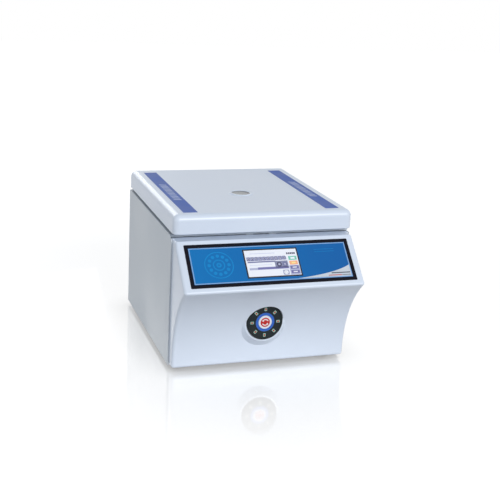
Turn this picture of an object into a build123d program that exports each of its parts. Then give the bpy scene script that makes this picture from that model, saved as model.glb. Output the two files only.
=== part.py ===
# Mini centrifuge: a bench-top box with a hinged lid, a tilted console and a jog dial.
# X runs to the viewer's right, Y to the back and Z up. The origin is on the table, midway
# between the console's lip and the lid's back face.
import os
from math import asin, cos, degrees, radians, sin, sqrt

from build123d import *

os.makedirs("parts", exist_ok=True)

# Cabinet and lid
BODY_WIDTH = 322.0
LID_SIDE_INSET = 1.0
LID_DEPTH = 351.0
LID_THICKNESS = 33.5
LID_EDGE_RADIUS = 11.0
LID_CORNER_RADIUS = 10.0
LID_HEM_RADIUS = 1.5
LID_GAP = 4.5
SIDE_HEIGHT = 230.0
BACK_INSET = 6.0
FOOT_HEIGHT = 7.0
SHEET = 2.0
MOULDING = 3.0
DECK_THICKNESS = 4.0

# Front moulding
FASCIA_SIDE_INSET = 2.5
CONSOLE_STEP = 5.0
CONSOLE_ANGLE = 43.1
CONSOLE_TOP_REACH = 5.9
TOE_REACH = 9.1
TOE_STRAIGHT = 10.7
LIP_RADIUS = 4.0
CHEEK_RADIUS = 5.0
CROWN_RADIUS = 2.5
SEAM_SETBACK = 10.0
LEDGE_DEPTH = 10.0
FLANGE = 12.0

# Console panel and display
FRAME_SIDE_MARGIN = 12.5
FRAME_END_MARGIN = 8.6
FRAME_BORDER = 6.5
FRAME_CORNER = 1.5
FRAME_RISE = 1.5
FRAME_PROUD = 0.8
FRAME_SEAT = 1.2
OVERLAY_PROUD = 0.2
PANEL_CLEARANCE = 0.1
SCREEN_WIDTH = 97.4
SCREEN_LENGTH = 54.8
SCREEN_SHIFT = 1.2
SCREEN_END_GAP = 6.8
SCREEN_PROUD = 0.5
MODULE_MARGIN = 5.0
MODULE_DEPTH = 7.0
BOARD_THICKNESS = 1.6
BOARD_MARGIN = 14.0
POST_RADIUS = 3.0
POST_MARGIN = 1.5

# Jog dial
DIAL_RADIUS = 32.2
DIAL_RISE = 2.0
DIAL_REACH = 26.0
DIAL_THICKNESS = 7.0
DIAL_PROUD = 3.0
DIAL_EDGE = 1.0
DIAL_FLOOR_GAP = 1.0
DIAL_GAP = 0.8
DIAL_RIM = 3.0
DIAL_GROOVE = 0.6
BOSS_FLARE = 16.5
RING_INSET = 15.4
RING_WIDTH = 4.6
RING_PROUD = 0.4
RING_THICKNESS = 1.4
CAP_CLEARANCE = 0.3
CAP_PROUD = 0.8
CAP_THICKNESS = 2.0
CAP_TRAVEL = 1.2
CAP_FLOOR_GAP = 0.4
DOT_MARGIN = 3.5
DOT_THICKNESS = 0.3
MARK_COUNT = 8
MARK_INSET = 8.6
MARK_LENGTH = 6.2
MARK_WIDTH = 4.4
MARK_CORNER = 0.8
MARK_THICKNESS = 0.3
LAMP_RADIUS = 1.3
ENCODER_SIZE = 16.0
ENCODER_DEPTH = 8.0
BUSH_RADIUS = 4.5
DIAL_SHAFT_RADIUS = 3.0
RUNNING_FIT = 0.05

# Chamber, guard, motor and rotor
BOWL_RADIUS = 94.0
BOWL_DEPTH = 105.0
BOWL_SHEET = 1.5
BOWL_CORNER = 14.0
BOWL_FLANGE = 8.0
GUARD_GAP = 2.0
GUARD_WALL = 4.0
GUARD_SKIRT = 16.0
GUARD_LATCH_GAP = 6.0
POST_COUNT = 4
GUARD_POST_RADIUS = 5.0
MOUNT_RADIUS = 9.0
MOUNT_HEIGHT = 22.0
MOUNT_INSET = 12.0
PLATE_MARGIN = 19.0
PLATE_THICKNESS = 4.0
MOTOR_RADIUS = 43.0
MOTOR_GAP = 13.0
MOTOR_RIB_COUNT = 16
MOTOR_RIB_DEPTH = 2.0
MOTOR_RIB_WIDTH = 4.0
NOSE_WALL = 3.0
NOSE_RISE = 3.5
SHAFT_RADIUS = 5.0
SHAFT_RELIEF = 1.0
COLLAR_WIDTH = 4.0
COLLAR_HEIGHT = 6.0
BEARING_WIDTH = 6.0
BEARING_HEIGHT = 8.0
BOOT_WIDTH = 12.0
BOOT_HEIGHT = 5.0
ROTOR_GAP = 10.0
ROTOR_FLOOR_GAP = 18.5
ROTOR_SKIRT = 22.0
ROTOR_RIM = 8.0
HUB_WALL = 9.0
ROTOR_HUB_RISE = 18.0
DISH_MARGIN = 13.0
DISH_FLOOR = 22.0
DISH_RISE = 27.0
PLACE_COUNT = 12
TUBE_RADIUS = 5.6
TUBE_INSET = 36.0
TUBE_DEPTH = 38.0
TUBE_ANGLE = 45.0
UNDERCUT_HUB_WALL = 8.0
UNDERCUT_RIM_WALL = 26.0
UNDERCUT_DEPTH = 8.0
NUT_SETBACK = 2.0
NUT_HEIGHT = 15.0
NUT_EDGE = 0.8
NUT_SCALLOPS = 8
SCALLOP_RADIUS = 2.5

# Lid fittings
LINER_THICKNESS = 3.0
LINER_BACK_GAP = 16.0
LINER_CLEARANCE = 0.2
GASKET_WIDTH = 5.0
SEAT_GAP = 0.3
SIGHT_RADIUS = 16.5
GLASS_LAP = 2.5
SIGHT_WALL = 3.0
BEZEL_WIDTH = 5.5
BEZEL_HEIGHT = 1.2
GLASS_GAP = 0.2
STRIPE_WIDTH = 24.5
STRIPE_EDGE_GAP = 20.25
STRIPE_SETBACK = 17.0
STRIPE_BACK_GAP = 31.0
STRIPE_THICKNESS = 0.4
BUMPER_RADIUS = 6.0
BUMPER_INSET = 22.0
BUMPER_EDGE = 1.0

# Hinges
HINGE_SIDE_GAP = 56.0
HINGE_RISE = 1.0
KNUCKLE_RADIUS = 5.5
KNUCKLE_OVERHANG = 3.5
KNUCKLE_LID = 20.0
KNUCKLE_BASE = 12.0
KNUCKLE_GAP = 0.3
PIN_RADIUS = 2.5
PIN_FIT = 0.04
LEAF_THICKNESS = 2.5
LEAF_LENGTH = 42.0
BRACKET_HEIGHT = 45.0
NOTCH_GAP = 1.0

# Latch
LATCH_SETBACK = 28.0
STRIKER_WIDTH = 18.0
STRIKER_THICKNESS = 3.0
STRIKER_DROP = 32.0
STRIKER_WINDOW_WIDTH = 11.0
STRIKER_WINDOW_HEIGHT = 12.0
STRIKER_SILL = 3.0
SLOT_CLEARANCE = 4.0
HOOK_THICKNESS = 8.0
HOOK_ARM = 24.0
HOOK_WIDTH = 7.0
HOOK_BOSS_WALL = 2.9
HOOK_NOSE_GAP = 1.0
HOOK_SETBACK = 14.0
HOOK_OVERRUN = 2.0
HOOK_NOSE_HEIGHT = 5.0
HOOK_SWING = 14.0
HOOK_PIN_RADIUS = 2.0
LATCH_PLATE = 2.0
LATCH_MOTOR_RADIUS = 11.0
LATCH_MOTOR_LENGTH = 34.0

# Rear fittings
INLET_SIDE_GAP = 54.0
INLET_Z = 52.0
INLET_CORNER = 2.0
INLET_FLANGE_WIDTH = 34.0
INLET_FLANGE_HEIGHT = 48.0
INLET_FLANGE = 2.5
INLET_DEPTH = 26.0
SOCKET_WIDTH = 24.0
SOCKET_HEIGHT = 16.5
SOCKET_DEPTH = 16.0
SOCKET_CHAMFER = 4.0
SOCKET_DROP = 10.0
BLADE_LENGTH = 11.0
BLADE_WIDTH = 2.0
BLADE_HEIGHT = 4.0
BLADE_PITCH = 7.0
BLADE_STAGGER = 2.0
DRAWER_WIDTH = 19.0
DRAWER_HEIGHT = 10.0
DRAWER_LENGTH = 20.0
DRAWER_RISE = 14.0
DRAWER_CLEARANCE = 0.25
DRAWER_PULL = 1.6
DRAWER_LIP = 1.0
SWITCH_PITCH = 45.0
SWITCH_WIDTH = 15.0
SWITCH_HEIGHT = 21.0
SWITCH_BEZEL = 2.5
SWITCH_CORNER = 1.5
SWITCH_DEPTH = 18.0
ROCKER_RADIUS = 9.0
ROCKER_TILT = 8.0
ROCKER_WALL = 1.5
ROCKER_CLEARANCE = 0.4
TRUNNION_RADIUS = 1.5
LOUVRE_COUNT = 9
LOUVRE_LENGTH = 60.0
LOUVRE_WIDTH = 3.0
LOUVRE_PITCH = 8.0
LOUVRE_X = 70.0
LOUVRE_Z = 90.0
SCREW_RADIUS = 3.5
SCREW_HEAD = 1.8
SCREW_CROWN = 0.7
SCREW_LOW = 14.0
SCREW_HIGH = 28.0
FOOT_RADIUS = 12.0
FOOT_TAPER = 2.0
FOOT_INSET = 24.0
VENT_LENGTH = 50.0
VENT_WIDTH = 3.0
VENT_PITCH = 9.0
VENT_COUNT = 7
PAN_FLANGE = 16.0
SUPPLY_SIDE_GAP = 12.0
SUPPLY_WIDTH = 95.0
SUPPLY_DEPTH = 48.0
SUPPLY_HEIGHT = 42.0
SUPPLY_GAP = 4.0
CONTROL_SIDE_GAP = 20.0
CONTROL_WIDTH = 120.0
CONTROL_DEPTH = 66.0
CONTROL_RISE = 10.0
CHIP_SIZE = 22.0
CHIP_HEIGHT = 3.0
CAPACITOR_RADIUS = 5.5
CAPACITOR_HEIGHT = 18.0
CAPACITOR_COUNT = 3

# Widths, and the console's length round its screen
LID_WIDTH = BODY_WIDTH - 2 * LID_SIDE_INSET
FASCIA_WIDTH = BODY_WIDTH - 2 * FASCIA_SIDE_INSET
FRAME_WIDTH = FASCIA_WIDTH - 2 * FRAME_SIDE_MARGIN
OVERLAY_LENGTH = SCREEN_LENGTH + 2 * SCREEN_END_GAP
FRAME_LENGTH = OVERLAY_LENGTH + 2 * FRAME_BORDER
CONSOLE_LENGTH = FRAME_LENGTH + 2 * FRAME_END_MARGIN

# Heights above the table
FASCIA_HEIGHT = SIDE_HEIGHT - CONSOLE_STEP
BODY_BOTTOM = FOOT_HEIGHT
PAN_FLOOR = BODY_BOTTOM + SHEET
DECK_TOP = BODY_BOTTOM + SIDE_HEIGHT
DECK_UNDER = DECK_TOP - DECK_THICKNESS
FASCIA_TOP = BODY_BOTTOM + FASCIA_HEIGHT
LID_BOTTOM = DECK_TOP + LID_GAP
LID_TOP = LID_BOTTOM + LID_THICKNESS
BOWL_FLOOR = DECK_UNDER - BOWL_DEPTH

# The lip is where the console slope meets the concave front; its tip is rounded off
LIP_REACH = CONSOLE_TOP_REACH + CONSOLE_LENGTH * cos(radians(CONSOLE_ANGLE))
LIP_Z = FASCIA_TOP - CONSOLE_LENGTH * sin(radians(CONSOLE_ANGLE))
CURVE_START_Z = BODY_BOTTOM + TOE_STRAIGHT
CURVE_RUN = LIP_REACH - TOE_REACH
CURVE_RISE = LIP_Z - CURVE_START_Z
CURVE_RADIUS = (CURVE_RUN**2 + CURVE_RISE**2) / (2 * CURVE_RUN)
CURVE_END_ANGLE = degrees(asin(CURVE_RISE / CURVE_RADIUS))
LIP_HALF_ANGLE = (90 - (CURVE_END_ANGLE - CONSOLE_ANGLE)) / 2
LIP_TIP_REACH = LIP_REACH - LIP_RADIUS / sin(radians(LIP_HALF_ANGLE)) + LIP_RADIUS

# Places along Y
LID_FRONT = (LIP_TIP_REACH - LID_DEPTH) / 2
LID_BACK = LID_FRONT + LID_DEPTH
LID_MIDDLE = (LID_FRONT + LID_BACK) / 2
BODY_BACK = LID_BACK - BACK_INSET
PANEL_INSIDE = BODY_BACK - SHEET
SEAM_Y = LID_FRONT + SEAM_SETBACK
LEDGE_Y = SEAM_Y + LEDGE_DEPTH
BODY_INSIDE = BODY_WIDTH / 2 - SHEET
BODY_DEPTH = BODY_BACK - SEAM_Y
BODY_MIDDLE = (BODY_BACK + SEAM_Y) / 2

# The latch stands behind the front wall, and the chamber with its guard ring behind the latch
LATCH_Y = LID_FRONT + LATCH_SETBACK
SLOT_WIDTH = STRIKER_WIDTH + 2 * SLOT_CLEARANCE
SLOT_DEPTH = STRIKER_THICKNESS + 2 * SLOT_CLEARANCE
GUARD_INNER = BOWL_RADIUS + BOWL_SHEET + GUARD_GAP
CHAMBER_Y = LATCH_Y + SLOT_DEPTH / 2 + GUARD_LATCH_GAP + GUARD_INNER + GUARD_WALL

# Planes: the console face, the dial face looking forward, and the back face looking back
CONSOLE_NORMAL = (0, -sin(radians(CONSOLE_ANGLE)), cos(radians(CONSOLE_ANGLE)))
CONSOLE_CENTRE_Y = LID_FRONT - (CONSOLE_TOP_REACH + LIP_REACH) / 2
CONSOLE_CENTRE_Z = (FASCIA_TOP + LIP_Z) / 2
CONSOLE = Plane(origin=(0, CONSOLE_CENTRE_Y, CONSOLE_CENTRE_Z), x_dir=(1, 0, 0), z_dir=CONSOLE_NORMAL)
DIAL_Z = (BODY_BOTTOM + LIP_Z) / 2 + DIAL_RISE
DIAL_FACE_Y = LID_FRONT - DIAL_REACH
DIAL = Plane(origin=(0, DIAL_FACE_Y, DIAL_Z), x_dir=(1, 0, 0), z_dir=(0, -1, 0))
BOSS = DIAL.offset(-DIAL_PROUD)
REAR = Plane(origin=(0, BODY_BACK, 0), x_dir=(-1, 0, 0), z_dir=(0, 1, 0))
CHAMBER = Plane(origin=(0, CHAMBER_Y, 0))


def finish(part, name):
    part.label = name
    export_step(part, f"parts/{name}.step")


def four_places(half_x, half_y, middle_y):
    return [(sx * half_x, middle_y + sy * half_y) for sx in (-1, 1) for sy in (-1, 1)]


# Feet: four tapered rubber feet, each held by a screw in its recess
FOOT_PLACES = four_places(BODY_INSIDE - FOOT_INSET, BODY_DEPTH / 2 - FOOT_INSET, BODY_MIDDLE)
FOOT_RECESS = FOOT_RADIUS / 2
FOOT_WEB = FOOT_HEIGHT / 2

with BuildPart() as feet:
    with BuildSketch(Plane.XY.offset(FOOT_HEIGHT)):
        with Locations(*FOOT_PLACES):
            Circle(FOOT_RADIUS)
    extrude(amount=-FOOT_HEIGHT, taper=degrees(asin(FOOT_TAPER / FOOT_HEIGHT)))
    with BuildSketch(Plane.XY):
        with Locations(*FOOT_PLACES):
            Circle(FOOT_RECESS)
    extrude(amount=FOOT_HEIGHT - FOOT_WEB, mode=Mode.SUBTRACT)
finish(feet.part, "feet")

with BuildPart() as foot_screws:
    with BuildSketch(Plane.XY.offset(FOOT_HEIGHT - FOOT_WEB)):
        with Locations(*FOOT_PLACES):
            Circle(SCREW_RADIUS)
    extrude(amount=-SCREW_HEAD)
finish(foot_screws.part, "foot_screws")


# Base pan: a shallow sheet-steel tray with air slots between the motor's mounts
with BuildPart() as base_pan:
    with BuildSketch(Plane.XY.offset(BODY_BOTTOM)):
        with Locations((0, (SEAM_Y + PANEL_INSIDE) / 2)):
            Rectangle(2 * BODY_INSIDE, PANEL_INSIDE - SEAM_Y)
    extrude(amount=PAN_FLANGE)
    with BuildSketch(Plane.XY.offset(PAN_FLOOR)):
        with Locations((0, (SEAM_Y + PANEL_INSIDE) / 2)):
            Rectangle(2 * (BODY_INSIDE - SHEET), PANEL_INSIDE - SEAM_Y - 2 * SHEET)
    extrude(amount=PAN_FLANGE, mode=Mode.SUBTRACT)
    with BuildSketch(Plane.XY.offset(BODY_BOTTOM)):
        with Locations((0, CHAMBER_Y)):
            with GridLocations(0, VENT_PITCH, 1, VENT_COUNT):
                SlotOverall(VENT_LENGTH, VENT_WIDTH)
    extrude(amount=SHEET, mode=Mode.SUBTRACT)
finish(base_pan.part, "base_pan")


# Side panels: flat sheets with a bent flange behind the moulding and a step under its ledge
def side_panel(side):
    outline = [
        (SEAM_Y, BODY_BOTTOM),
        (BODY_BACK, BODY_BOTTOM),
        (BODY_BACK, DECK_TOP),
        (LEDGE_Y, DECK_TOP),
        (LEDGE_Y, FASCIA_TOP),
        (SEAM_Y, FASCIA_TOP),
    ]
    with BuildPart() as panel:
        with BuildSketch(Plane.YZ.offset(side * BODY_WIDTH / 2)):
            with BuildLine():
                Polyline(*outline, close=True)
            make_face()
        extrude(amount=-side * SHEET)
        with BuildSketch(Plane.YZ.offset(side * BODY_INSIDE)):
            with Locations((SEAM_Y + SHEET / 2, (BODY_BOTTOM + PAN_FLANGE + FASCIA_TOP - MOULDING) / 2)):
                Rectangle(SHEET, FASCIA_TOP - MOULDING - BODY_BOTTOM - PAN_FLANGE)
        extrude(amount=-side * FLANGE)
    return panel.part


finish(side_panel(-1), "side_panel_left")
finish(side_panel(1), "side_panel_right")


# Top deck: a plate round the chamber mouth, with the latch slot and the hinge notches
HINGE_LENGTH = KNUCKLE_LID + 2 * (KNUCKLE_BASE + KNUCKLE_GAP)
HINGE_Y = BODY_BACK + KNUCKLE_OVERHANG - KNUCKLE_RADIUS
HINGE_OFFSET = BODY_WIDTH / 2 - HINGE_SIDE_GAP
HINGE_Z = DECK_TOP + HINGE_RISE
NOTCH_WIDTH = HINGE_LENGTH + 2 * NOTCH_GAP
NOTCH_RADIUS = KNUCKLE_RADIUS + NOTCH_GAP
DECK_FRONT = LEDGE_Y
DECK_DEPTH = PANEL_INSIDE - DECK_FRONT

with BuildPart() as top_deck:
    with BuildSketch(Plane.XY.offset(DECK_UNDER)):
        with Locations((0, DECK_FRONT + DECK_DEPTH / 2)):
            Rectangle(2 * BODY_INSIDE, DECK_DEPTH)
        with Locations((0, CHAMBER_Y)):
            Circle(BOWL_RADIUS, mode=Mode.SUBTRACT)
        with Locations((0, LATCH_Y)):
            Rectangle(SLOT_WIDTH, SLOT_DEPTH, mode=Mode.SUBTRACT)
        with Locations((-HINGE_OFFSET, HINGE_Y), (HINGE_OFFSET, HINGE_Y)):
            Rectangle(NOTCH_WIDTH, 2 * NOTCH_RADIUS, mode=Mode.SUBTRACT)
    extrude(amount=DECK_THICKNESS)
finish(top_deck.part, "top_deck")

# Lid bumpers: rubber studs on the deck that the closed lid all but touches
with BuildPart() as lid_bumpers:
    with BuildSketch(Plane.XY.offset(DECK_TOP)):
        with Locations(*four_places(BODY_INSIDE - BUMPER_INSET, DECK_DEPTH / 2 - BUMPER_INSET, LID_MIDDLE)):
            Circle(BUMPER_RADIUS)
    extrude(amount=LID_GAP - SEAT_GAP)
    fillet(lid_bumpers.edges().group_by(Axis.Z)[-1], BUMPER_EDGE)
finish(lid_bumpers.part, "lid_bumpers")


# Rear panel: inlet and switch cut-outs, louvre slots and room for the hinge knuckles
INLET_X = INLET_SIDE_GAP - BODY_INSIDE
SWITCH_X = INLET_X + SWITCH_PITCH
SWITCH_Z = INLET_Z
INLET_CUT_WIDTH = INLET_FLANGE_WIDTH - 2 * INLET_FLANGE
INLET_CUT_HEIGHT = INLET_FLANGE_HEIGHT - 2 * INLET_FLANGE
LOUVRE_CENTRES = [(-LOUVRE_X, LOUVRE_Z), (LOUVRE_X, LOUVRE_Z)]

with BuildPart() as rear_panel:
    with BuildSketch(REAR):
        with Locations((0, (BODY_BOTTOM + DECK_TOP) / 2)):
            Rectangle(2 * BODY_INSIDE, SIDE_HEIGHT)
        with Locations((-INLET_X, INLET_Z)):
            Rectangle(INLET_CUT_WIDTH, INLET_CUT_HEIGHT, mode=Mode.SUBTRACT)
        with Locations((-SWITCH_X, SWITCH_Z)):
            Rectangle(SWITCH_WIDTH, SWITCH_HEIGHT, mode=Mode.SUBTRACT)
        with Locations((-HINGE_OFFSET, HINGE_Z), (HINGE_OFFSET, HINGE_Z)):
            Rectangle(NOTCH_WIDTH, 2 * NOTCH_RADIUS, mode=Mode.SUBTRACT)
        with Locations(*[(x, DECK_TOP - LOUVRE_Z) for x, z in LOUVRE_CENTRES]):
            with GridLocations(0, LOUVRE_PITCH, 1, LOUVRE_COUNT):
                SlotOverall(LOUVRE_LENGTH, LOUVRE_WIDTH, mode=Mode.SUBTRACT)
    extrude(amount=-SHEET)
finish(rear_panel.part, "rear_panel")

# Panel screws: pan heads round the edge of the rear panel
SCREW_X = BODY_INSIDE - 2 * SCREW_RADIUS
SCREW_HEIGHTS = [BODY_BOTTOM + SCREW_LOW, (BODY_BOTTOM + DECK_TOP) / 2, DECK_TOP - SCREW_HIGH]
SCREW_PLACES = [(side * SCREW_X, height) for side in (-1, 1) for height in SCREW_HEIGHTS]

with BuildPart() as rear_screws:
    with BuildSketch(REAR):
        with Locations(*SCREW_PLACES):
            Circle(SCREW_RADIUS)
    extrude(amount=SCREW_HEAD)
    fillet(rear_screws.edges().group_by(Axis.Y)[-1], SCREW_CROWN)
finish(rear_screws.part, "rear_screws")


# Front fascia: one moulding with cheeks, tilted console, lip, concave front and dial boss
def fascia_outline():
    toe = (LID_FRONT - TOE_REACH, BODY_BOTTOM)
    curve_start = (LID_FRONT - TOE_REACH, CURVE_START_Z)
    lip = (LID_FRONT - LIP_REACH, LIP_Z)
    crown = (LID_FRONT - CONSOLE_TOP_REACH, FASCIA_TOP)
    with BuildLine() as outline:
        Line(toe, curve_start)
        TangentArc(curve_start, lip, tangent=(0, 1))
        Polyline(lip, crown, (SEAM_Y, FASCIA_TOP), (SEAM_Y, BODY_BOTTOM), toe)
    return outline.line


DIAL_RECESS = DIAL_THICKNESS + DIAL_FLOOR_GAP
WELL_RADIUS = DIAL_RADIUS + DIAL_GAP
BOSS_RADIUS = WELL_RADIUS + MOULDING
WELL_DEPTH = 3 * DIAL_REACH
CORE_SETBACK = MOULDING * sqrt(2)

with BuildPart() as fascia_core:
    with BuildSketch(Plane.YZ):
        add(fascia_outline())
        make_face()
        offset(amount=-MOULDING, kind=Kind.INTERSECTION)
        with Locations((SEAM_Y, (BODY_BOTTOM + FASCIA_TOP) / 2)):
            Rectangle(4 * MOULDING, FASCIA_HEIGHT - 2 * MOULDING)
    extrude(amount=FASCIA_WIDTH / 2 - MOULDING, both=True)
    with Locations(BOSS.offset(-CORE_SETBACK)):
        Cone(BOSS_RADIUS + BOSS_FLARE, BOSS_RADIUS, BOSS_FLARE, align=(Align.CENTER, Align.CENTER, Align.MAX))
    with Locations(DIAL.offset(-DIAL_RECESS - MOULDING)):
        Cylinder(
            BOSS_RADIUS,
            WELL_DEPTH,
            align=(Align.CENTER, Align.CENTER, Align.MIN),
            mode=Mode.SUBTRACT,
        )

with BuildPart() as front_fascia:
    with BuildSketch(Plane.YZ):
        add(fascia_outline())
        make_face()
    extrude(amount=FASCIA_WIDTH / 2, both=True)
    lip_edge = front_fascia.edges().filter_by(Axis.X).sort_by(Axis.Y)[0]
    fillet(lip_edge, LIP_RADIUS)
    crown_edge = front_fascia.edges().filter_by(Axis.X).group_by(Axis.Z)[-1].sort_by(Axis.Y)[0]
    fillet(crown_edge, CROWN_RADIUS)
    toe_edge = front_fascia.edges().filter_by(Axis.X).group_by(Axis.Z)[0].sort_by(Axis.Y)[0]
    fillet(toe_edge, CHEEK_RADIUS)
    cheek_edges = front_fascia.edges().filter_by(lambda e: abs(abs(e.center().X) - FASCIA_WIDTH / 2) < 0.01)
    fillet(cheek_edges.filter_by(lambda e: e.center().Y < SEAM_Y - SEAM_SETBACK), CHEEK_RADIUS)
    with Locations(BOSS):
        Cone(BOSS_RADIUS + BOSS_FLARE, BOSS_RADIUS, BOSS_FLARE, align=(Align.CENTER, Align.CENTER, Align.MAX))
    add(fascia_core.part, mode=Mode.SUBTRACT)
    with BuildSketch(Plane.XY.offset(FASCIA_TOP)):
        with Locations((0, SEAM_Y + LEDGE_DEPTH / 2)):
            Rectangle(FASCIA_WIDTH, LEDGE_DEPTH)
    extrude(amount=-MOULDING)
    with Locations(DIAL.offset(-DIAL_RECESS)):
        Cylinder(WELL_RADIUS, WELL_DEPTH, align=(Align.CENTER, Align.CENTER, Align.MIN), mode=Mode.SUBTRACT)
        Cylinder(BUSH_RADIUS, 3 * MOULDING, mode=Mode.SUBTRACT)
    with BuildSketch(CONSOLE):
        with Locations((0, FRAME_RISE)):
            RectangleRounded(FRAME_WIDTH, FRAME_LENGTH, FRAME_CORNER)
    extrude(amount=-FRAME_SEAT, mode=Mode.SUBTRACT)
    with BuildSketch(CONSOLE):
        with Locations((SCREEN_SHIFT, FRAME_RISE)):
            Rectangle(SCREEN_WIDTH, SCREEN_LENGTH)
    extrude(amount=-3 * MOULDING, mode=Mode.SUBTRACT)
finish(front_fascia.part, "front_fascia")


# Console: black frame, printed panel and screen glass, with the display module behind
CONSOLE_FLOOR = CONSOLE.offset(-FRAME_SEAT)
OVERLAY_WIDTH = FRAME_WIDTH - 2 * FRAME_BORDER
FRAME_OUTER_WIDTH = FRAME_WIDTH - 2 * PANEL_CLEARANCE
FRAME_OUTER_LENGTH = FRAME_LENGTH - 2 * PANEL_CLEARANCE

with BuildPart() as console_frame:
    with BuildSketch(CONSOLE_FLOOR):
        with Locations((0, FRAME_RISE)):
            RectangleRounded(FRAME_OUTER_WIDTH, FRAME_OUTER_LENGTH, FRAME_CORNER)
            Rectangle(OVERLAY_WIDTH, OVERLAY_LENGTH, mode=Mode.SUBTRACT)
    extrude(amount=FRAME_SEAT + FRAME_PROUD)
    chamfer(console_frame.edges().group_by(Axis((0, 0, 0), CONSOLE_NORMAL))[-1], FRAME_PROUD / 2)
finish(console_frame.part, "console_frame")

with BuildPart() as console_overlay:
    with BuildSketch(CONSOLE_FLOOR):
        with Locations((0, FRAME_RISE)):
            Rectangle(OVERLAY_WIDTH - 2 * PANEL_CLEARANCE, OVERLAY_LENGTH - 2 * PANEL_CLEARANCE)
        with Locations((SCREEN_SHIFT, FRAME_RISE)):
            Rectangle(SCREEN_WIDTH, SCREEN_LENGTH, mode=Mode.SUBTRACT)
    extrude(amount=FRAME_SEAT + OVERLAY_PROUD)
finish(console_overlay.part, "console_overlay")

MODULE_WIDTH = SCREEN_WIDTH + 2 * MODULE_MARGIN
MODULE_LENGTH = SCREEN_LENGTH + 2 * MODULE_MARGIN
MODULE_FACE = CONSOLE.offset(-MOULDING)
SCREEN_PLACE = (SCREEN_SHIFT, FRAME_RISE)

with BuildPart() as screen_glass:
    with BuildSketch(MODULE_FACE):
        with Locations(SCREEN_PLACE):
            Rectangle(SCREEN_WIDTH - 2 * PANEL_CLEARANCE, SCREEN_LENGTH - 2 * PANEL_CLEARANCE)
    extrude(amount=MOULDING + SCREEN_PROUD)
finish(screen_glass.part, "screen_glass")

with BuildPart() as display_module:
    with BuildSketch(MODULE_FACE):
        with Locations(SCREEN_PLACE):
            Rectangle(MODULE_WIDTH, MODULE_LENGTH)
    extrude(amount=-MODULE_DEPTH)
finish(display_module.part, "display_module")

DISPLAY_BOARD_WIDTH = SCREEN_WIDTH + 2 * BOARD_MARGIN
DISPLAY_BOARD_LENGTH = SCREEN_LENGTH + 2 * BOARD_MARGIN
POST_INSET = POST_RADIUS + POST_MARGIN

with BuildPart() as display_board:
    with BuildSketch(MODULE_FACE.offset(-MODULE_DEPTH)):
        with Locations(SCREEN_PLACE):
            Rectangle(DISPLAY_BOARD_WIDTH, DISPLAY_BOARD_LENGTH)
    extrude(amount=-BOARD_THICKNESS)
finish(display_board.part, "display_board")

with BuildPart() as display_posts:
    with BuildSketch(MODULE_FACE):
        with Locations(SCREEN_PLACE):
            with GridLocations(
                DISPLAY_BOARD_WIDTH - 2 * POST_INSET, DISPLAY_BOARD_LENGTH - 2 * POST_INSET, 2, 2
            ):
                Circle(POST_RADIUS)
    extrude(amount=-MODULE_DEPTH)
finish(display_posts.part, "display_posts")


# Jog dial: a black disc in its well, with inlaid marks, a blue ring and a sprung centre cap
RING_OUTER = DIAL_RADIUS - RING_INSET
RING_INNER = RING_OUTER - RING_WIDTH
CAP_RADIUS = RING_INNER - CAP_CLEARANCE
DOT_RADIUS = CAP_RADIUS - DOT_MARGIN
MARK_RADIUS = DIAL_RADIUS - MARK_INSET
CAP_WELL = CAP_THICKNESS - CAP_PROUD + CAP_TRAVEL + CAP_FLOOR_GAP
RING_SEAT = RING_THICKNESS - RING_PROUD
DIAL_SHAFT_SEAT = (DIAL_THICKNESS - CAP_WELL) / 2
DIAL_SHAFT_LENGTH = DIAL_SHAFT_SEAT + DIAL_FLOOR_GAP + MOULDING + ENCODER_DEPTH / 2

with BuildPart() as dial_knob:
    with BuildSketch(DIAL):
        Circle(DIAL_RADIUS)
    extrude(amount=-DIAL_THICKNESS)
    fillet(dial_knob.edges().group_by(Axis.Y)[0], DIAL_EDGE)
    with BuildSketch(DIAL):
        Circle(DIAL_RADIUS - DIAL_RIM + DIAL_GROOVE)
        Circle(DIAL_RADIUS - DIAL_RIM, mode=Mode.SUBTRACT)
    extrude(amount=-DIAL_GROOVE, mode=Mode.SUBTRACT)
    with BuildSketch(DIAL):
        Circle(RING_OUTER + PANEL_CLEARANCE)
    extrude(amount=-RING_SEAT, mode=Mode.SUBTRACT)
    with BuildSketch(DIAL):
        Circle(RING_INNER)
    extrude(amount=-CAP_WELL, mode=Mode.SUBTRACT)
    with BuildSketch(DIAL.offset(-DIAL_THICKNESS)):
        Circle(DIAL_SHAFT_RADIUS + RUNNING_FIT)
    extrude(amount=DIAL_SHAFT_SEAT, mode=Mode.SUBTRACT)
finish(dial_knob.part, "dial_knob")

with BuildPart() as dial_ring:
    with BuildSketch(DIAL.offset(-RING_SEAT)):
        Circle(RING_OUTER)
        Circle(RING_INNER, mode=Mode.SUBTRACT)
    extrude(amount=RING_THICKNESS)
    chamfer(dial_ring.edges().group_by(Axis.Y)[0], RING_PROUD / 2)
finish(dial_ring.part, "dial_ring")

with BuildPart() as dial_marks:
    with BuildSketch(DIAL):
        with PolarLocations(MARK_RADIUS, MARK_COUNT, start_angle=90):
            RectangleRounded(MARK_LENGTH, MARK_WIDTH, MARK_CORNER)
    extrude(amount=MARK_THICKNESS)
finish(dial_marks.part, "dial_marks")

with BuildPart() as dial_lamps:
    with BuildSketch(DIAL.offset(MARK_THICKNESS)):
        with PolarLocations(MARK_RADIUS, MARK_COUNT, start_angle=90):
            Ellipse(1.5 * LAMP_RADIUS, LAMP_RADIUS)
    extrude(amount=MARK_THICKNESS)
finish(dial_lamps.part, "dial_lamps")

with BuildPart() as dial_cap:
    with BuildSketch(DIAL.offset(CAP_PROUD)):
        Circle(CAP_RADIUS)
    extrude(amount=-CAP_THICKNESS)
    fillet(dial_cap.edges().group_by(Axis.Y)[0], CAP_PROUD / 2)
finish(dial_cap.part, "dial_cap")

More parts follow.
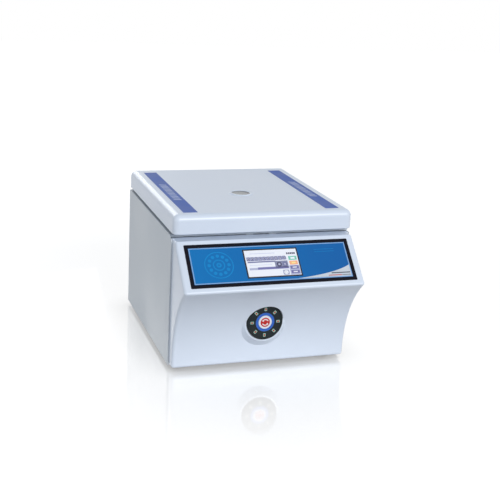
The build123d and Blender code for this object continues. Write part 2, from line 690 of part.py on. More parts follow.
with BuildPart() as dial_dot:
    with BuildSketch(DIAL.offset(CAP_PROUD)):
        Circle(DOT_RADIUS)
    extrude(amount=DOT_THICKNESS)
finish(dial_dot.part, "dial_dot")

with BuildPart() as dial_shaft:
    with BuildSketch(DIAL.offset(-DIAL_THICKNESS + DIAL_SHAFT_SEAT)):
        Circle(DIAL_SHAFT_RADIUS)
    extrude(amount=-DIAL_SHAFT_LENGTH)
finish(dial_shaft.part, "dial_shaft")

with BuildPart() as dial_encoder:
    with BuildSketch(DIAL.offset(-DIAL_RECESS)):
        Circle(BUSH_RADIUS - RUNNING_FIT)
    extrude(amount=-MOULDING)
    with BuildSketch(DIAL.offset(-DIAL_RECESS - MOULDING)):
        Rectangle(ENCODER_SIZE, ENCODER_SIZE)
    extrude(amount=-ENCODER_DEPTH)
    with BuildSketch(DIAL.offset(-DIAL_RECESS)):
        Circle(DIAL_SHAFT_RADIUS + RUNNING_FIT)
    extrude(amount=-DIAL_SHAFT_LENGTH, mode=Mode.SUBTRACT)
finish(dial_encoder.part, "dial_encoder")


# Chamber: a spun steel bowl hung under the deck, inside a thick guard ring on four posts
SECTION = Plane(origin=(0, CHAMBER_Y, 0), x_dir=(1, 0, 0), z_dir=(0, -1, 0))
SPIN = Axis((0, CHAMBER_Y, 0), (0, 0, 1))
BOWL_INSIDE = BOWL_FLOOR + BOWL_SHEET
BEARING_RADIUS = SHAFT_RADIUS + BEARING_WIDTH
NOSE_RADIUS = BEARING_RADIUS + NOSE_WALL
BOWL_HOLE = NOSE_RADIUS + BOOT_WIDTH / 2
FLANGE_UNDER = DECK_UNDER - BOWL_SHEET

with BuildPart() as chamber_bowl:
    with BuildSketch(SECTION) as bowl_section:
        with BuildLine():
            Polyline(
                (BOWL_RADIUS + BOWL_FLANGE, DECK_UNDER),
                (BOWL_RADIUS, DECK_UNDER),
                (BOWL_RADIUS, BOWL_INSIDE),
                (BOWL_HOLE, BOWL_INSIDE),
                (BOWL_HOLE, BOWL_FLOOR),
                (BOWL_RADIUS + BOWL_SHEET, BOWL_FLOOR),
                (BOWL_RADIUS + BOWL_SHEET, FLANGE_UNDER),
                (BOWL_RADIUS + BOWL_FLANGE, FLANGE_UNDER),
                close=True,
            )
        make_face()
        fillet(bowl_section.vertices().sort_by_distance((BOWL_RADIUS, BOWL_INSIDE))[0], BOWL_CORNER)
        outer_corner = (BOWL_RADIUS + BOWL_SHEET, BOWL_FLOOR)
        fillet(bowl_section.vertices().sort_by_distance(outer_corner)[0], BOWL_CORNER + BOWL_SHEET)
    revolve(axis=SPIN)
finish(chamber_bowl.part, "chamber_bowl")

GUARD_BASE = BOWL_FLOOR - GUARD_SKIRT
GUARD_MIDDLE = GUARD_INNER + GUARD_WALL / 2

with BuildPart() as guard_ring:
    with BuildSketch(CHAMBER.offset(GUARD_BASE)):
        Circle(GUARD_INNER + GUARD_WALL)
        Circle(GUARD_INNER, mode=Mode.SUBTRACT)
    extrude(amount=FLANGE_UNDER - GUARD_BASE)
finish(guard_ring.part, "guard_ring")

with BuildPart() as guard_posts:
    with BuildSketch(CHAMBER.offset(PAN_FLOOR)):
        with PolarLocations(GUARD_MIDDLE, POST_COUNT):
            Circle(GUARD_POST_RADIUS)
    extrude(amount=GUARD_BASE - PAN_FLOOR)
finish(guard_posts.part, "guard_posts")


# Motor: a ribbed housing on a plate and rubber mounts, with bearings at both ends
PLATE_UNDER = PAN_FLOOR + MOUNT_HEIGHT
MOTOR_BASE = PLATE_UNDER + PLATE_THICKNESS
MOTOR_TOP = BOWL_FLOOR - MOTOR_GAP
MOTOR_HEIGHT = MOTOR_TOP - MOTOR_BASE
NOSE_TOP = BOWL_INSIDE + NOSE_RISE
PLATE_RADIUS = MOTOR_RADIUS + PLATE_MARGIN
MOUNT_REACH = PLATE_RADIUS - MOUNT_INSET

with BuildPart() as motor_mounts:
    with BuildSketch(CHAMBER.offset(PAN_FLOOR)):
        with PolarLocations(MOUNT_REACH, POST_COUNT, start_angle=45):
            Circle(MOUNT_RADIUS)
    extrude(amount=MOUNT_HEIGHT)
finish(motor_mounts.part, "motor_mounts")

with BuildPart() as motor_plate:
    with BuildSketch(CHAMBER.offset(PLATE_UNDER)):
        Circle(PLATE_RADIUS)
        Circle(BEARING_RADIUS, mode=Mode.SUBTRACT)
    extrude(amount=PLATE_THICKNESS)
finish(motor_plate.part, "motor_plate")

with BuildPart() as motor_housing:
    with BuildSketch(SECTION):
        with BuildLine():
            Polyline(
                (SHAFT_RADIUS + SHAFT_RELIEF, MOTOR_BASE + BEARING_HEIGHT),
                (BEARING_RADIUS, MOTOR_BASE + BEARING_HEIGHT),
                (BEARING_RADIUS, MOTOR_BASE),
                (MOTOR_RADIUS, MOTOR_BASE),
                (MOTOR_RADIUS, MOTOR_TOP - MOTOR_RIB_WIDTH),
                (MOTOR_RADIUS - MOTOR_RIB_WIDTH, MOTOR_TOP),
                (NOSE_RADIUS, MOTOR_TOP),
                (NOSE_RADIUS, NOSE_TOP),
                (BEARING_RADIUS, NOSE_TOP),
                (BEARING_RADIUS, NOSE_TOP - BEARING_HEIGHT),
                (SHAFT_RADIUS + SHAFT_RELIEF, NOSE_TOP - BEARING_HEIGHT),
                close=True,
            )
        make_face()
    revolve(axis=SPIN)
    with BuildSketch(CHAMBER.offset(MOTOR_BASE + MOTOR_RIB_WIDTH)):
        with PolarLocations(MOTOR_RADIUS, MOTOR_RIB_COUNT):
            Rectangle(2 * MOTOR_RIB_DEPTH, MOTOR_RIB_WIDTH)
    extrude(amount=MOTOR_HEIGHT - 3 * MOTOR_RIB_WIDTH, mode=Mode.SUBTRACT)
finish(motor_housing.part, "motor_housing")

with BuildPart() as motor_bearings:
    with BuildSketch(CHAMBER.offset(MOTOR_BASE), CHAMBER.offset(NOSE_TOP - BEARING_HEIGHT)):
        Circle(BEARING_RADIUS)
        Circle(SHAFT_RADIUS + RUNNING_FIT, mode=Mode.SUBTRACT)
    extrude(amount=BEARING_HEIGHT)
finish(motor_bearings.part, "motor_bearings")

with BuildPart() as chamber_boot:
    with BuildSketch(CHAMBER.offset(BOWL_INSIDE)):
        Circle(NOSE_RADIUS + BOOT_WIDTH)
        Circle(NOSE_RADIUS + SEAT_GAP, mode=Mode.SUBTRACT)
    extrude(amount=BOOT_HEIGHT)
    chamfer(chamber_boot.edges().group_by(Axis.Z)[-1].sort_by(SortBy.RADIUS)[-1], BOOT_HEIGHT / 2)
finish(chamber_boot.part, "chamber_boot")


# Rotor: a fixed-angle rotor on the motor shaft, clamped by a scalloped nut
TILT = radians(TUBE_ANGLE)
ROTOR_RADIUS = BOWL_RADIUS - ROTOR_GAP
ROTOR_BASE = BOWL_INSIDE + ROTOR_FLOOR_GAP
ROTOR_HUB_RADIUS = SHAFT_RADIUS + HUB_WALL
COLLAR_RADIUS = SHAFT_RADIUS + COLLAR_WIDTH
NUT_RADIUS = ROTOR_HUB_RADIUS - NUT_SETBACK
UNDERCUT_INNER = ROTOR_HUB_RADIUS + UNDERCUT_HUB_WALL
UNDERCUT_OUTER = ROTOR_RADIUS - UNDERCUT_RIM_WALL
TUBE_MOUTH = ROTOR_RADIUS - TUBE_INSET
DISH_INNER = TUBE_MOUTH - DISH_MARGIN
DISH_Z = ROTOR_BASE + DISH_FLOOR
DISH_OUTER = DISH_INNER + DISH_RISE * cos(TILT) / sin(TILT)
HUB_TOP = DISH_Z + ROTOR_HUB_RISE
MOUTH_Z = DISH_Z + (TUBE_MOUTH - DISH_INNER) * sin(TILT) / cos(TILT)
SHAFT_TOP = HUB_TOP + NUT_HEIGHT / 2


def tube_plane(index):
    turn = radians(360 / PLACE_COUNT * index)
    outward = (cos(turn), sin(turn))
    mouth = (TUBE_MOUTH * outward[0], CHAMBER_Y + TUBE_MOUTH * outward[1], MOUTH_Z)
    return Plane(origin=mouth, z_dir=(-sin(TILT) * outward[0], -sin(TILT) * outward[1], cos(TILT)))


with BuildPart() as rotor:
    with BuildSketch(SECTION):
        with BuildLine():
            Polyline(
                (SHAFT_RADIUS + RUNNING_FIT, ROTOR_BASE),
                (UNDERCUT_INNER, ROTOR_BASE),
                (UNDERCUT_INNER, ROTOR_BASE + UNDERCUT_DEPTH),
                (UNDERCUT_OUTER, ROTOR_BASE + UNDERCUT_DEPTH),
                (UNDERCUT_OUTER, ROTOR_BASE),
                (ROTOR_RADIUS, ROTOR_BASE),
                (ROTOR_RADIUS, ROTOR_BASE + ROTOR_SKIRT),
                (DISH_OUTER + ROTOR_RIM, DISH_Z + DISH_RISE),
                (DISH_OUTER, DISH_Z + DISH_RISE),
                (DISH_INNER, DISH_Z),
                (ROTOR_HUB_RADIUS, DISH_Z),
                (ROTOR_HUB_RADIUS, HUB_TOP),
                (SHAFT_RADIUS + RUNNING_FIT, HUB_TOP),
                close=True,
            )
        make_face()
    revolve(axis=SPIN)
    with Locations(*[tube_plane(index).offset(TUBE_RADIUS) for index in range(PLACE_COUNT)]):
        Cylinder(
            TUBE_RADIUS,
            TUBE_DEPTH + TUBE_RADIUS,
            align=(Align.CENTER, Align.CENTER, Align.MAX),
            mode=Mode.SUBTRACT,
        )
finish(rotor.part, "rotor")

with BuildPart() as motor_shaft:
    with BuildSketch(CHAMBER.offset(MOTOR_BASE + SHAFT_RELIEF)):
        Circle(SHAFT_RADIUS)
    extrude(amount=SHAFT_TOP - MOTOR_BASE - SHAFT_RELIEF)
    with BuildSketch(CHAMBER.offset(ROTOR_BASE - COLLAR_HEIGHT)):
        Circle(COLLAR_RADIUS)
    extrude(amount=COLLAR_HEIGHT)
finish(motor_shaft.part, "motor_shaft")

with BuildPart() as rotor_nut:
    with BuildSketch(CHAMBER.offset(HUB_TOP)):
        Circle(NUT_RADIUS)
        with PolarLocations(NUT_RADIUS + SCALLOP_RADIUS / 2, NUT_SCALLOPS):
            Circle(SCALLOP_RADIUS, mode=Mode.SUBTRACT)
    extrude(amount=NUT_HEIGHT)
    chamfer(rotor_nut.edges().group_by(Axis.Z)[-1], NUT_EDGE)
    with BuildSketch(CHAMBER.offset(HUB_TOP)):
        Circle(SHAFT_RADIUS + RUNNING_FIT)
    extrude(amount=SHAFT_TOP - HUB_TOP + SEAT_GAP, mode=Mode.SUBTRACT)
finish(rotor_nut.part, "rotor_nut")


# Lid: a hollow moulded slab closed by a liner plate, with a sight window over the rotor
LINER_FRONT = LID_FRONT + MOULDING + LINER_CLEARANCE
LINER_BACK = LID_BACK - LINER_BACK_GAP
LINER_WIDTH = LID_WIDTH - 2 * (MOULDING + LINER_CLEARANCE)
INNER_CORNER = LID_CORNER_RADIUS - MOULDING
GLASS_RADIUS = SIGHT_RADIUS + GLASS_LAP
STRIPE_LENGTH = LID_DEPTH - STRIPE_SETBACK - STRIPE_BACK_GAP
STRIPE_X = LID_WIDTH / 2 - STRIPE_EDGE_GAP - STRIPE_WIDTH / 2

with BuildPart() as lid_shell:
    with BuildSketch(Plane.XY.offset(LID_BOTTOM)):
        with Locations((0, LID_MIDDLE)):
            RectangleRounded(LID_WIDTH, LID_DEPTH, LID_CORNER_RADIUS)
    extrude(amount=LID_THICKNESS)
    fillet(lid_shell.edges().group_by(Axis.Z)[-1], LID_EDGE_RADIUS)
    fillet(lid_shell.edges().group_by(Axis.Z)[0], LID_HEM_RADIUS)
    with BuildPart(mode=Mode.PRIVATE) as lid_hollow:
        with BuildSketch(Plane.XY.offset(LID_BOTTOM)):
            with Locations((0, LID_MIDDLE)):
                RectangleRounded(LID_WIDTH - 2 * MOULDING, LID_DEPTH - 2 * MOULDING, INNER_CORNER)
        extrude(amount=LID_THICKNESS - MOULDING)
        fillet(lid_hollow.edges().group_by(Axis.Z)[-1], LID_EDGE_RADIUS - MOULDING)
    add(lid_hollow.part, mode=Mode.SUBTRACT)
    with BuildSketch(CHAMBER.offset(LID_TOP)):
        Circle(GLASS_RADIUS + GLASS_GAP)
    extrude(amount=-LID_THICKNESS, mode=Mode.SUBTRACT)
finish(lid_shell.part, "lid_shell")

with BuildPart() as lid_liner:
    with BuildSketch(Plane.XY.offset(LID_BOTTOM)):
        with Locations((0, (LINER_FRONT + LINER_BACK) / 2)):
            RectangleRounded(LINER_WIDTH, LINER_BACK - LINER_FRONT, INNER_CORNER)
        with Locations((0, CHAMBER_Y)):
            Circle(SIGHT_RADIUS, mode=Mode.SUBTRACT)
    extrude(amount=LINER_THICKNESS)
finish(lid_liner.part, "lid_liner")

with BuildPart() as lid_gasket:
    with BuildSketch(CHAMBER.offset(LID_BOTTOM)):
        Circle(BOWL_RADIUS + BOWL_FLANGE)
        Circle(BOWL_RADIUS + BOWL_FLANGE - GASKET_WIDTH, mode=Mode.SUBTRACT)
    extrude(amount=-(LID_GAP - SEAT_GAP))
finish(lid_gasket.part, "lid_gasket")

SIGHT_BASE = LID_BOTTOM + LINER_THICKNESS
GLASS_UNDER = LID_TOP - MOULDING

with BuildPart() as sight_tube:
    with BuildSketch(CHAMBER.offset(SIGHT_BASE)):
        Circle(SIGHT_RADIUS + SIGHT_WALL)
        Circle(SIGHT_RADIUS, mode=Mode.SUBTRACT)
    extrude(amount=GLASS_UNDER - SIGHT_BASE)
finish(sight_tube.part, "sight_tube")

with BuildPart() as sight_glass:
    with BuildSketch(CHAMBER.offset(GLASS_UNDER)):
        Circle(GLASS_RADIUS)
    extrude(amount=MOULDING)
finish(sight_glass.part, "sight_glass")

with BuildPart() as sight_bezel:
    with BuildSketch(CHAMBER.offset(LID_TOP)):
        Circle(SIGHT_RADIUS + BEZEL_WIDTH)
        Circle(SIGHT_RADIUS, mode=Mode.SUBTRACT)
    extrude(amount=BEZEL_HEIGHT)
    chamfer(sight_bezel.edges().group_by(Axis.Z)[-1], BEZEL_HEIGHT * 2 / 3)
finish(sight_bezel.part, "sight_bezel")


def lid_stripe(side):
    with BuildPart() as stripe:
        with BuildSketch(Plane.XY.offset(LID_TOP)):
            with Locations((side * STRIPE_X, LID_FRONT + STRIPE_SETBACK + STRIPE_LENGTH / 2)):
                Rectangle(STRIPE_WIDTH, STRIPE_LENGTH)
        extrude(amount=STRIPE_THICKNESS)
    return stripe.part


finish(lid_stripe(-1), "lid_stripe_left")
finish(lid_stripe(1), "lid_stripe_right")


# Hinges: steel brackets on the rear panel, leaves under the liner, and pins through both
HINGE_PLACES = (-HINGE_OFFSET, HINGE_OFFSET)
BASE_KNUCKLE_SHIFT = (KNUCKLE_LID + KNUCKLE_BASE) / 2 + KNUCKLE_GAP
BRACKET_TOP = HINGE_Z - NOTCH_RADIUS
BRACKET_BOTTOM = DECK_UNDER - BRACKET_HEIGHT


def hinge_section(centre_x, length):
    return Plane.YZ.offset(centre_x - length / 2)


with BuildPart() as hinge_brackets:
    for place in HINGE_PLACES:
        with BuildSketch(hinge_section(place, HINGE_LENGTH)):
            with Locations((PANEL_INSIDE - LEAF_THICKNESS / 2, (BRACKET_TOP + BRACKET_BOTTOM) / 2)):
                Rectangle(LEAF_THICKNESS, BRACKET_TOP - BRACKET_BOTTOM)
        extrude(amount=HINGE_LENGTH)
        for shift in (-BASE_KNUCKLE_SHIFT, BASE_KNUCKLE_SHIFT):
            with BuildSketch(hinge_section(place + shift, KNUCKLE_BASE)):
                with Locations((PANEL_INSIDE - LEAF_THICKNESS / 2, (BRACKET_TOP + HINGE_Z) / 2)):
                    Rectangle(LEAF_THICKNESS, HINGE_Z - BRACKET_TOP)
                with Locations((HINGE_Y, HINGE_Z)):
                    Circle(KNUCKLE_RADIUS)
                    Circle(PIN_RADIUS + PIN_FIT, mode=Mode.SUBTRACT)
            extrude(amount=KNUCKLE_BASE)
finish(hinge_brackets.part, "hinge_brackets")

with BuildPart() as hinge_leaves:
    for place in HINGE_PLACES:
        with BuildSketch(hinge_section(place, KNUCKLE_LID)):
            with Locations((HINGE_Y - LEAF_LENGTH / 2, LID_BOTTOM - LEAF_THICKNESS / 2)):
                Rectangle(LEAF_LENGTH, LEAF_THICKNESS)
            with Locations((HINGE_Y, HINGE_Z)):
                Circle(KNUCKLE_RADIUS)
                Circle(PIN_RADIUS + PIN_FIT, mode=Mode.SUBTRACT)
        extrude(amount=KNUCKLE_LID)
finish(hinge_leaves.part, "hinge_leaves")

with BuildPart() as hinge_pins:
    for place in HINGE_PLACES:
        with BuildSketch(hinge_section(place, HINGE_LENGTH + NOTCH_GAP)):
            with Locations((HINGE_Y, HINGE_Z)):
                Circle(PIN_RADIUS)
        extrude(amount=HINGE_LENGTH + NOTCH_GAP)
finish(hinge_pins.part, "hinge_pins")


# Latch: a striker under the lid and a motor-driven hook, at rest swung clear of the window
STRIKER_BOTTOM = LID_BOTTOM - STRIKER_DROP
WINDOW_BOTTOM = STRIKER_BOTTOM + STRIKER_SILL
NOSE_Z = WINDOW_BOTTOM + HOOK_NOSE_GAP + HOOK_NOSE_HEIGHT / 2
HOOK_Y = LATCH_Y - HOOK_SETBACK
HOOK_Z = NOSE_Z - HOOK_ARM
STRIKER_FOOT = 4 * STRIKER_THICKNESS

with BuildPart() as lid_striker:
    with BuildSketch(Plane.XZ.offset(-(LATCH_Y + STRIKER_THICKNESS / 2))):
        with Locations((0, LID_BOTTOM - STRIKER_DROP / 2)):
            Rectangle(STRIKER_WIDTH, STRIKER_DROP)
        with Locations((0, WINDOW_BOTTOM + STRIKER_WINDOW_HEIGHT / 2)):
            Rectangle(STRIKER_WINDOW_WIDTH, STRIKER_WINDOW_HEIGHT, mode=Mode.SUBTRACT)
    extrude(amount=STRIKER_THICKNESS)
    with BuildSketch(Plane.XY.offset(LID_BOTTOM)):
        with Locations((0, LATCH_Y - STRIKER_FOOT / 2)):
            Rectangle(STRIKER_WIDTH, STRIKER_FOOT)
    extrude(amount=-LATCH_PLATE)
finish(lid_striker.part, "lid_striker")

SWING = radians(HOOK_SWING)
HOOK_PLANE = Plane(
    origin=(-HOOK_THICKNESS / 2, HOOK_Y, HOOK_Z), x_dir=(0, cos(SWING), sin(SWING)), z_dir=(1, 0, 0)
)
NOSE_REACH = HOOK_SETBACK + STRIKER_THICKNESS / 2 + HOOK_OVERRUN

with BuildPart() as latch_hook:
    with BuildSketch(HOOK_PLANE):
        with Locations((0, HOOK_ARM / 2)):
            Rectangle(HOOK_WIDTH, HOOK_ARM + HOOK_NOSE_HEIGHT)
        with Locations((NOSE_REACH / 2, HOOK_ARM)):
            Rectangle(NOSE_REACH, HOOK_NOSE_HEIGHT)
        Circle(HOOK_PIN_RADIUS + HOOK_BOSS_WALL)
        Circle(HOOK_PIN_RADIUS + PIN_FIT, mode=Mode.SUBTRACT)
    extrude(amount=HOOK_THICKNESS)
finish(latch_hook.part, "latch_hook")

CHEEK_X = SLOT_WIDTH / 2 + LATCH_PLATE
CHEEK_FRONT = HOOK_Y - 2 * HOOK_WIDTH
CHEEK_BACK = LATCH_Y + SLOT_DEPTH / 2
CHEEK_BOTTOM = HOOK_Z - 2 * HOOK_WIDTH
CHEEK_STEP = FASCIA_TOP - MOULDING - 2 * SEAT_GAP
TAB_FRONT = LEDGE_Y + SEAT_GAP

with BuildPart() as latch_bracket:
    for side in (-1, 1):
        with BuildSketch(Plane.YZ.offset(side * CHEEK_X)):
            with BuildLine():
                Polyline(
                    (CHEEK_FRONT, CHEEK_BOTTOM),
                    (CHEEK_BACK, CHEEK_BOTTOM),
                    (CHEEK_BACK, DECK_UNDER),
                    (TAB_FRONT, DECK_UNDER),
                    (TAB_FRONT, CHEEK_STEP),
                    (CHEEK_FRONT, CHEEK_STEP - HOOK_ARM / 2),
                    close=True,
                )
            make_face()
            with Locations((HOOK_Y, HOOK_Z)):
                Circle(HOOK_PIN_RADIUS + PIN_FIT, mode=Mode.SUBTRACT)
        extrude(amount=side * LATCH_PLATE)
        with BuildSketch(Plane.XY.offset(DECK_UNDER)):
            with Locations((side * (CHEEK_X + FLANGE / 2), (TAB_FRONT + CHEEK_BACK) / 2)):
                Rectangle(FLANGE, CHEEK_BACK - TAB_FRONT)
        extrude(amount=-LATCH_PLATE)
    with BuildSketch(Plane.XY.offset(CHEEK_BOTTOM)):
        with Locations((0, (CHEEK_FRONT + CHEEK_BACK) / 2)):
            Rectangle(2 * (CHEEK_X + LATCH_PLATE), CHEEK_BACK - CHEEK_FRONT)
    extrude(amount=-LATCH_PLATE)
finish(latch_bracket.part, "latch_bracket")

LATCH_PIN_HALF = CHEEK_X + LATCH_PLATE

with BuildPart() as latch_pin:
    with BuildSketch(Plane.YZ.offset(-LATCH_PIN_HALF)):
        with Locations((HOOK_Y, HOOK_Z)):
            Circle(HOOK_PIN_RADIUS)
    extrude(amount=2 * LATCH_PIN_HALF)
finish(latch_pin.part, "latch_pin")

with BuildPart() as latch_motor:
    with BuildSketch(Plane.YZ.offset(LATCH_PIN_HALF)):
        with Locations((HOOK_Y, HOOK_Z)):
            Circle(LATCH_MOTOR_RADIUS)
    extrude(amount=LATCH_MOTOR_LENGTH)
finish(latch_motor.part, "latch_motor")


# Power inlet: a flanged socket with three blades and a pull-out fuse drawer above
SOCKET_Z = INLET_Z - SOCKET_DROP
DRAWER_Z = INLET_Z + DRAWER_RISE
INLET_FACE = REAR.offset(INLET_FLANGE)
DRAWER_SLOT = DRAWER_LENGTH + DRAWER_CLEARANCE

with BuildPart() as power_inlet:
    with BuildSketch(REAR):
        with Locations((-INLET_X, INLET_Z)):
            RectangleRounded(INLET_FLANGE_WIDTH, INLET_FLANGE_HEIGHT, INLET_CORNER)
    extrude(amount=INLET_FLANGE)
    with BuildSketch(REAR):
        with Locations((-INLET_X, INLET_Z)):
            Rectangle(INLET_CUT_WIDTH - 2 * PANEL_CLEARANCE, INLET_CUT_HEIGHT - 2 * PANEL_CLEARANCE)
    extrude(amount=-INLET_DEPTH)
    with BuildSketch(INLET_FACE) as socket_outline:
        with Locations((-INLET_X, SOCKET_Z)):
            Rectangle(SOCKET_WIDTH, SOCKET_HEIGHT)
        chamfer(socket_outline.vertices().group_by(Axis.Y)[0], SOCKET_CHAMFER)
    extrude(amount=-SOCKET_DEPTH, mode=Mode.SUBTRACT)
    with BuildSketch(INLET_FACE):
        with Locations((-INLET_X, DRAWER_Z)):
            Rectangle(DRAWER_WIDTH + 2 * DRAWER_CLEARANCE, DRAWER_HEIGHT + 2 * DRAWER_CLEARANCE)
    extrude(amount=-DRAWER_SLOT, mode=Mode.SUBTRACT)
finish(power_inlet.part, "power_inlet")

BLADE_PLACES = [
    (-INLET_X - BLADE_PITCH, SOCKET_Z - BLADE_STAGGER),
    (-INLET_X, SOCKET_Z + BLADE_STAGGER),
    (-INLET_X + BLADE_PITCH, SOCKET_Z - BLADE_STAGGER),
]

with BuildPart() as inlet_blades:
    with BuildSketch(INLET_FACE.offset(-SOCKET_DEPTH)):
        with Locations(*BLADE_PLACES):
            Rectangle(BLADE_WIDTH, BLADE_HEIGHT)
    extrude(amount=BLADE_LENGTH)
finish(inlet_blades.part, "inlet_blades")

with BuildPart() as fuse_drawer:
    with BuildSketch(INLET_FACE.offset(DRAWER_CLEARANCE)):
        with Locations((-INLET_X, DRAWER_Z)):
            Rectangle(DRAWER_WIDTH + 2 * DRAWER_LIP, DRAWER_HEIGHT + 2 * DRAWER_LIP)
    extrude(amount=DRAWER_PULL)
    with BuildSketch(INLET_FACE.offset(DRAWER_CLEARANCE)):
        with Locations((-INLET_X, DRAWER_Z)):
            Rectangle(DRAWER_WIDTH, DRAWER_HEIGHT)
    extrude(amount=-DRAWER_LENGTH)
finish(fuse_drawer.part, "fuse_drawer")


# Mains switch: a bezelled body with a rocker that turns on side trunnions
ROCKER_POCKET = SWITCH_WIDTH - 2 * ROCKER_WALL
ROCKER_WIDTH = ROCKER_POCKET - 2 * ROCKER_CLEARANCE
ROCKER_FACE = ROCKER_RADIUS / 2
PIVOT_Y = BODY_BACK + SHEET - ROCKER_FACE
ROCKER_LEAN = ROCKER_RADIUS * sin(radians(ROCKER_TILT))
LEAN = radians(ROCKER_TILT)


def switch_section(length):
    return Plane(origin=(SWITCH_X - length / 2, PIVOT_Y, SWITCH_Z), x_dir=(0, 1, 0), z_dir=(1, 0, 0))


with BuildPart() as mains_switch:
    with BuildSketch(REAR):
        with Locations((-SWITCH_X, SWITCH_Z)):
            RectangleRounded(SWITCH_WIDTH + 2 * SWITCH_BEZEL, SWITCH_HEIGHT + 2 * SWITCH_BEZEL, SWITCH_CORNER)
    extrude(amount=SHEET)
    with BuildSketch(REAR):
        with Locations((-SWITCH_X, SWITCH_Z)):
            Rectangle(SWITCH_WIDTH - 2 * PANEL_CLEARANCE, SWITCH_HEIGHT - 2 * PANEL_CLEARANCE)
    extrude(amount=-SWITCH_DEPTH)
    with BuildSketch(switch_section(ROCKER_POCKET)):
        Circle(ROCKER_RADIUS + ROCKER_CLEARANCE)
    extrude(amount=ROCKER_POCKET, mode=Mode.SUBTRACT)
    with BuildSketch(switch_section(ROCKER_POCKET + ROCKER_WALL)):
        Circle(TRUNNION_RADIUS + RUNNING_FIT)
    extrude(amount=ROCKER_POCKET + ROCKER_WALL, mode=Mode.SUBTRACT)
finish(mains_switch.part, "mains_switch")

ROCKER_PLANE = Plane(
    origin=(SWITCH_X - ROCKER_WIDTH / 2, PIVOT_Y, SWITCH_Z),
    x_dir=(0, cos(LEAN), sin(LEAN)),
    z_dir=(1, 0, 0),
)

with BuildPart() as switch_rocker:
    with BuildSketch(ROCKER_PLANE):
        Circle(ROCKER_RADIUS)
        with BuildLine():
            Polyline(
                (-ROCKER_RADIUS, -ROCKER_RADIUS),
                (ROCKER_FACE + ROCKER_LEAN, -ROCKER_RADIUS),
                (ROCKER_FACE, 0),
                (ROCKER_FACE + ROCKER_LEAN, ROCKER_RADIUS),
                (-ROCKER_RADIUS, ROCKER_RADIUS),
                close=True,
            )
        make_face(mode=Mode.INTERSECT)
    extrude(amount=ROCKER_WIDTH)
    with BuildSketch(switch_section(ROCKER_POCKET + ROCKER_WALL - ROCKER_CLEARANCE)):
        Circle(TRUNNION_RADIUS)
    extrude(amount=ROCKER_POCKET + ROCKER_WALL - ROCKER_CLEARANCE)
finish(switch_rocker.part, "switch_rocker")


# Electronics on the pan: a power supply behind the inlet and a control board on posts
SUPPLY_X = SUPPLY_SIDE_GAP + SUPPLY_WIDTH / 2 - BODY_INSIDE
SUPPLY_Y = PANEL_INSIDE - INLET_DEPTH - SUPPLY_GAP - SUPPLY_DEPTH / 2
CONTROL_X = BODY_INSIDE - CONTROL_SIDE_GAP - CONTROL_WIDTH / 2
CONTROL_Y = PANEL_INSIDE - SUPPLY_GAP - SHEET - CONTROL_DEPTH / 2
CONTROL_UNDER = PAN_FLOOR + CONTROL_RISE
CONTROL_PLANE = Plane(origin=(CONTROL_X, CONTROL_Y, CONTROL_UNDER + BOARD_THICKNESS))

with BuildPart() as power_supply:
    with BuildSketch(Plane.XY.offset(PAN_FLOOR)):
        with Locations((SUPPLY_X, SUPPLY_Y)):
            Rectangle(SUPPLY_WIDTH, SUPPLY_DEPTH)
    extrude(amount=SUPPLY_HEIGHT)
    fillet(power_supply.edges().filter_by(Axis.Z), SHEET)
finish(power_supply.part, "power_supply")

with BuildPart() as control_board:
    with BuildSketch(Plane.XY.offset(CONTROL_UNDER)):
        with Locations((CONTROL_X, CONTROL_Y)):
            Rectangle(CONTROL_WIDTH, CONTROL_DEPTH)
    extrude(amount=BOARD_THICKNESS)
finish(control_board.part, "control_board")

with BuildPart() as control_posts:
    with BuildSketch(Plane.XY.offset(PAN_FLOOR)):
        with Locations((CONTROL_X, CONTROL_Y)):
            with GridLocations(CONTROL_WIDTH - 2 * POST_INSET, CONTROL_DEPTH - 2 * POST_INSET, 2, 2):
                Circle(POST_RADIUS)
    extrude(amount=CONTROL_RISE)
finish(control_posts.part, "control_posts")

with BuildPart() as control_parts:
    with BuildSketch(CONTROL_PLANE):
        with Locations((-CONTROL_WIDTH / 4, 0)):
            Rectangle(CHIP_SIZE, CHIP_SIZE)
    extrude(amount=CHIP_HEIGHT)
    with BuildSketch(CONTROL_PLANE):
        with Locations((CONTROL_WIDTH / 4, 0)):
            with GridLocations(3 * CAPACITOR_RADIUS, 0, CAPACITOR_COUNT, 1):
                Circle(CAPACITOR_RADIUS)
    extrude(amount=CAPACITOR_HEIGHT)
finish(control_parts.part, "control_parts")
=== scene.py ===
# Mini centrifuge: the finishes, prints and small fittings of a bench-top machine, in metres.
from math import cos, pi, radians, sin

import bmesh
import bpy
from mathutils import Matrix, Vector


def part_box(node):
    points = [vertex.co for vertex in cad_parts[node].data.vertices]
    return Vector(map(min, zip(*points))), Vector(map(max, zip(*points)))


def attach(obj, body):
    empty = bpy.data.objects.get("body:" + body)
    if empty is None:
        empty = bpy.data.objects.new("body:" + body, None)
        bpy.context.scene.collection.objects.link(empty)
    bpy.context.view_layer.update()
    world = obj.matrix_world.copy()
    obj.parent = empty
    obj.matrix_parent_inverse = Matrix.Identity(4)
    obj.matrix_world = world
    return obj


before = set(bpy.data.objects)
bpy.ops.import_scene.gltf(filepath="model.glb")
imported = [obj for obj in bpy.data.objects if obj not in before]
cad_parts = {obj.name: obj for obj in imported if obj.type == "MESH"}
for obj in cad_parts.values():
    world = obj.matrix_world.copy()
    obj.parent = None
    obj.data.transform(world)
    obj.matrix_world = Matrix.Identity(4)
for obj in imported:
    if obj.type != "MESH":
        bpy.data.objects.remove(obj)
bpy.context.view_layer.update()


# Camera: it stands left of the machine and above it, and looks down at about 17 degrees.
# Its turn, tilt and lean follow the machine's edges in the photograph.
CAMERA_PLACE = Vector((-0.542426, -1.609003, 0.679140))
CAMERA_TURN = 0.3378
CAMERA_TILT = 0.2919
CAMERA_LEAN = 0.0555
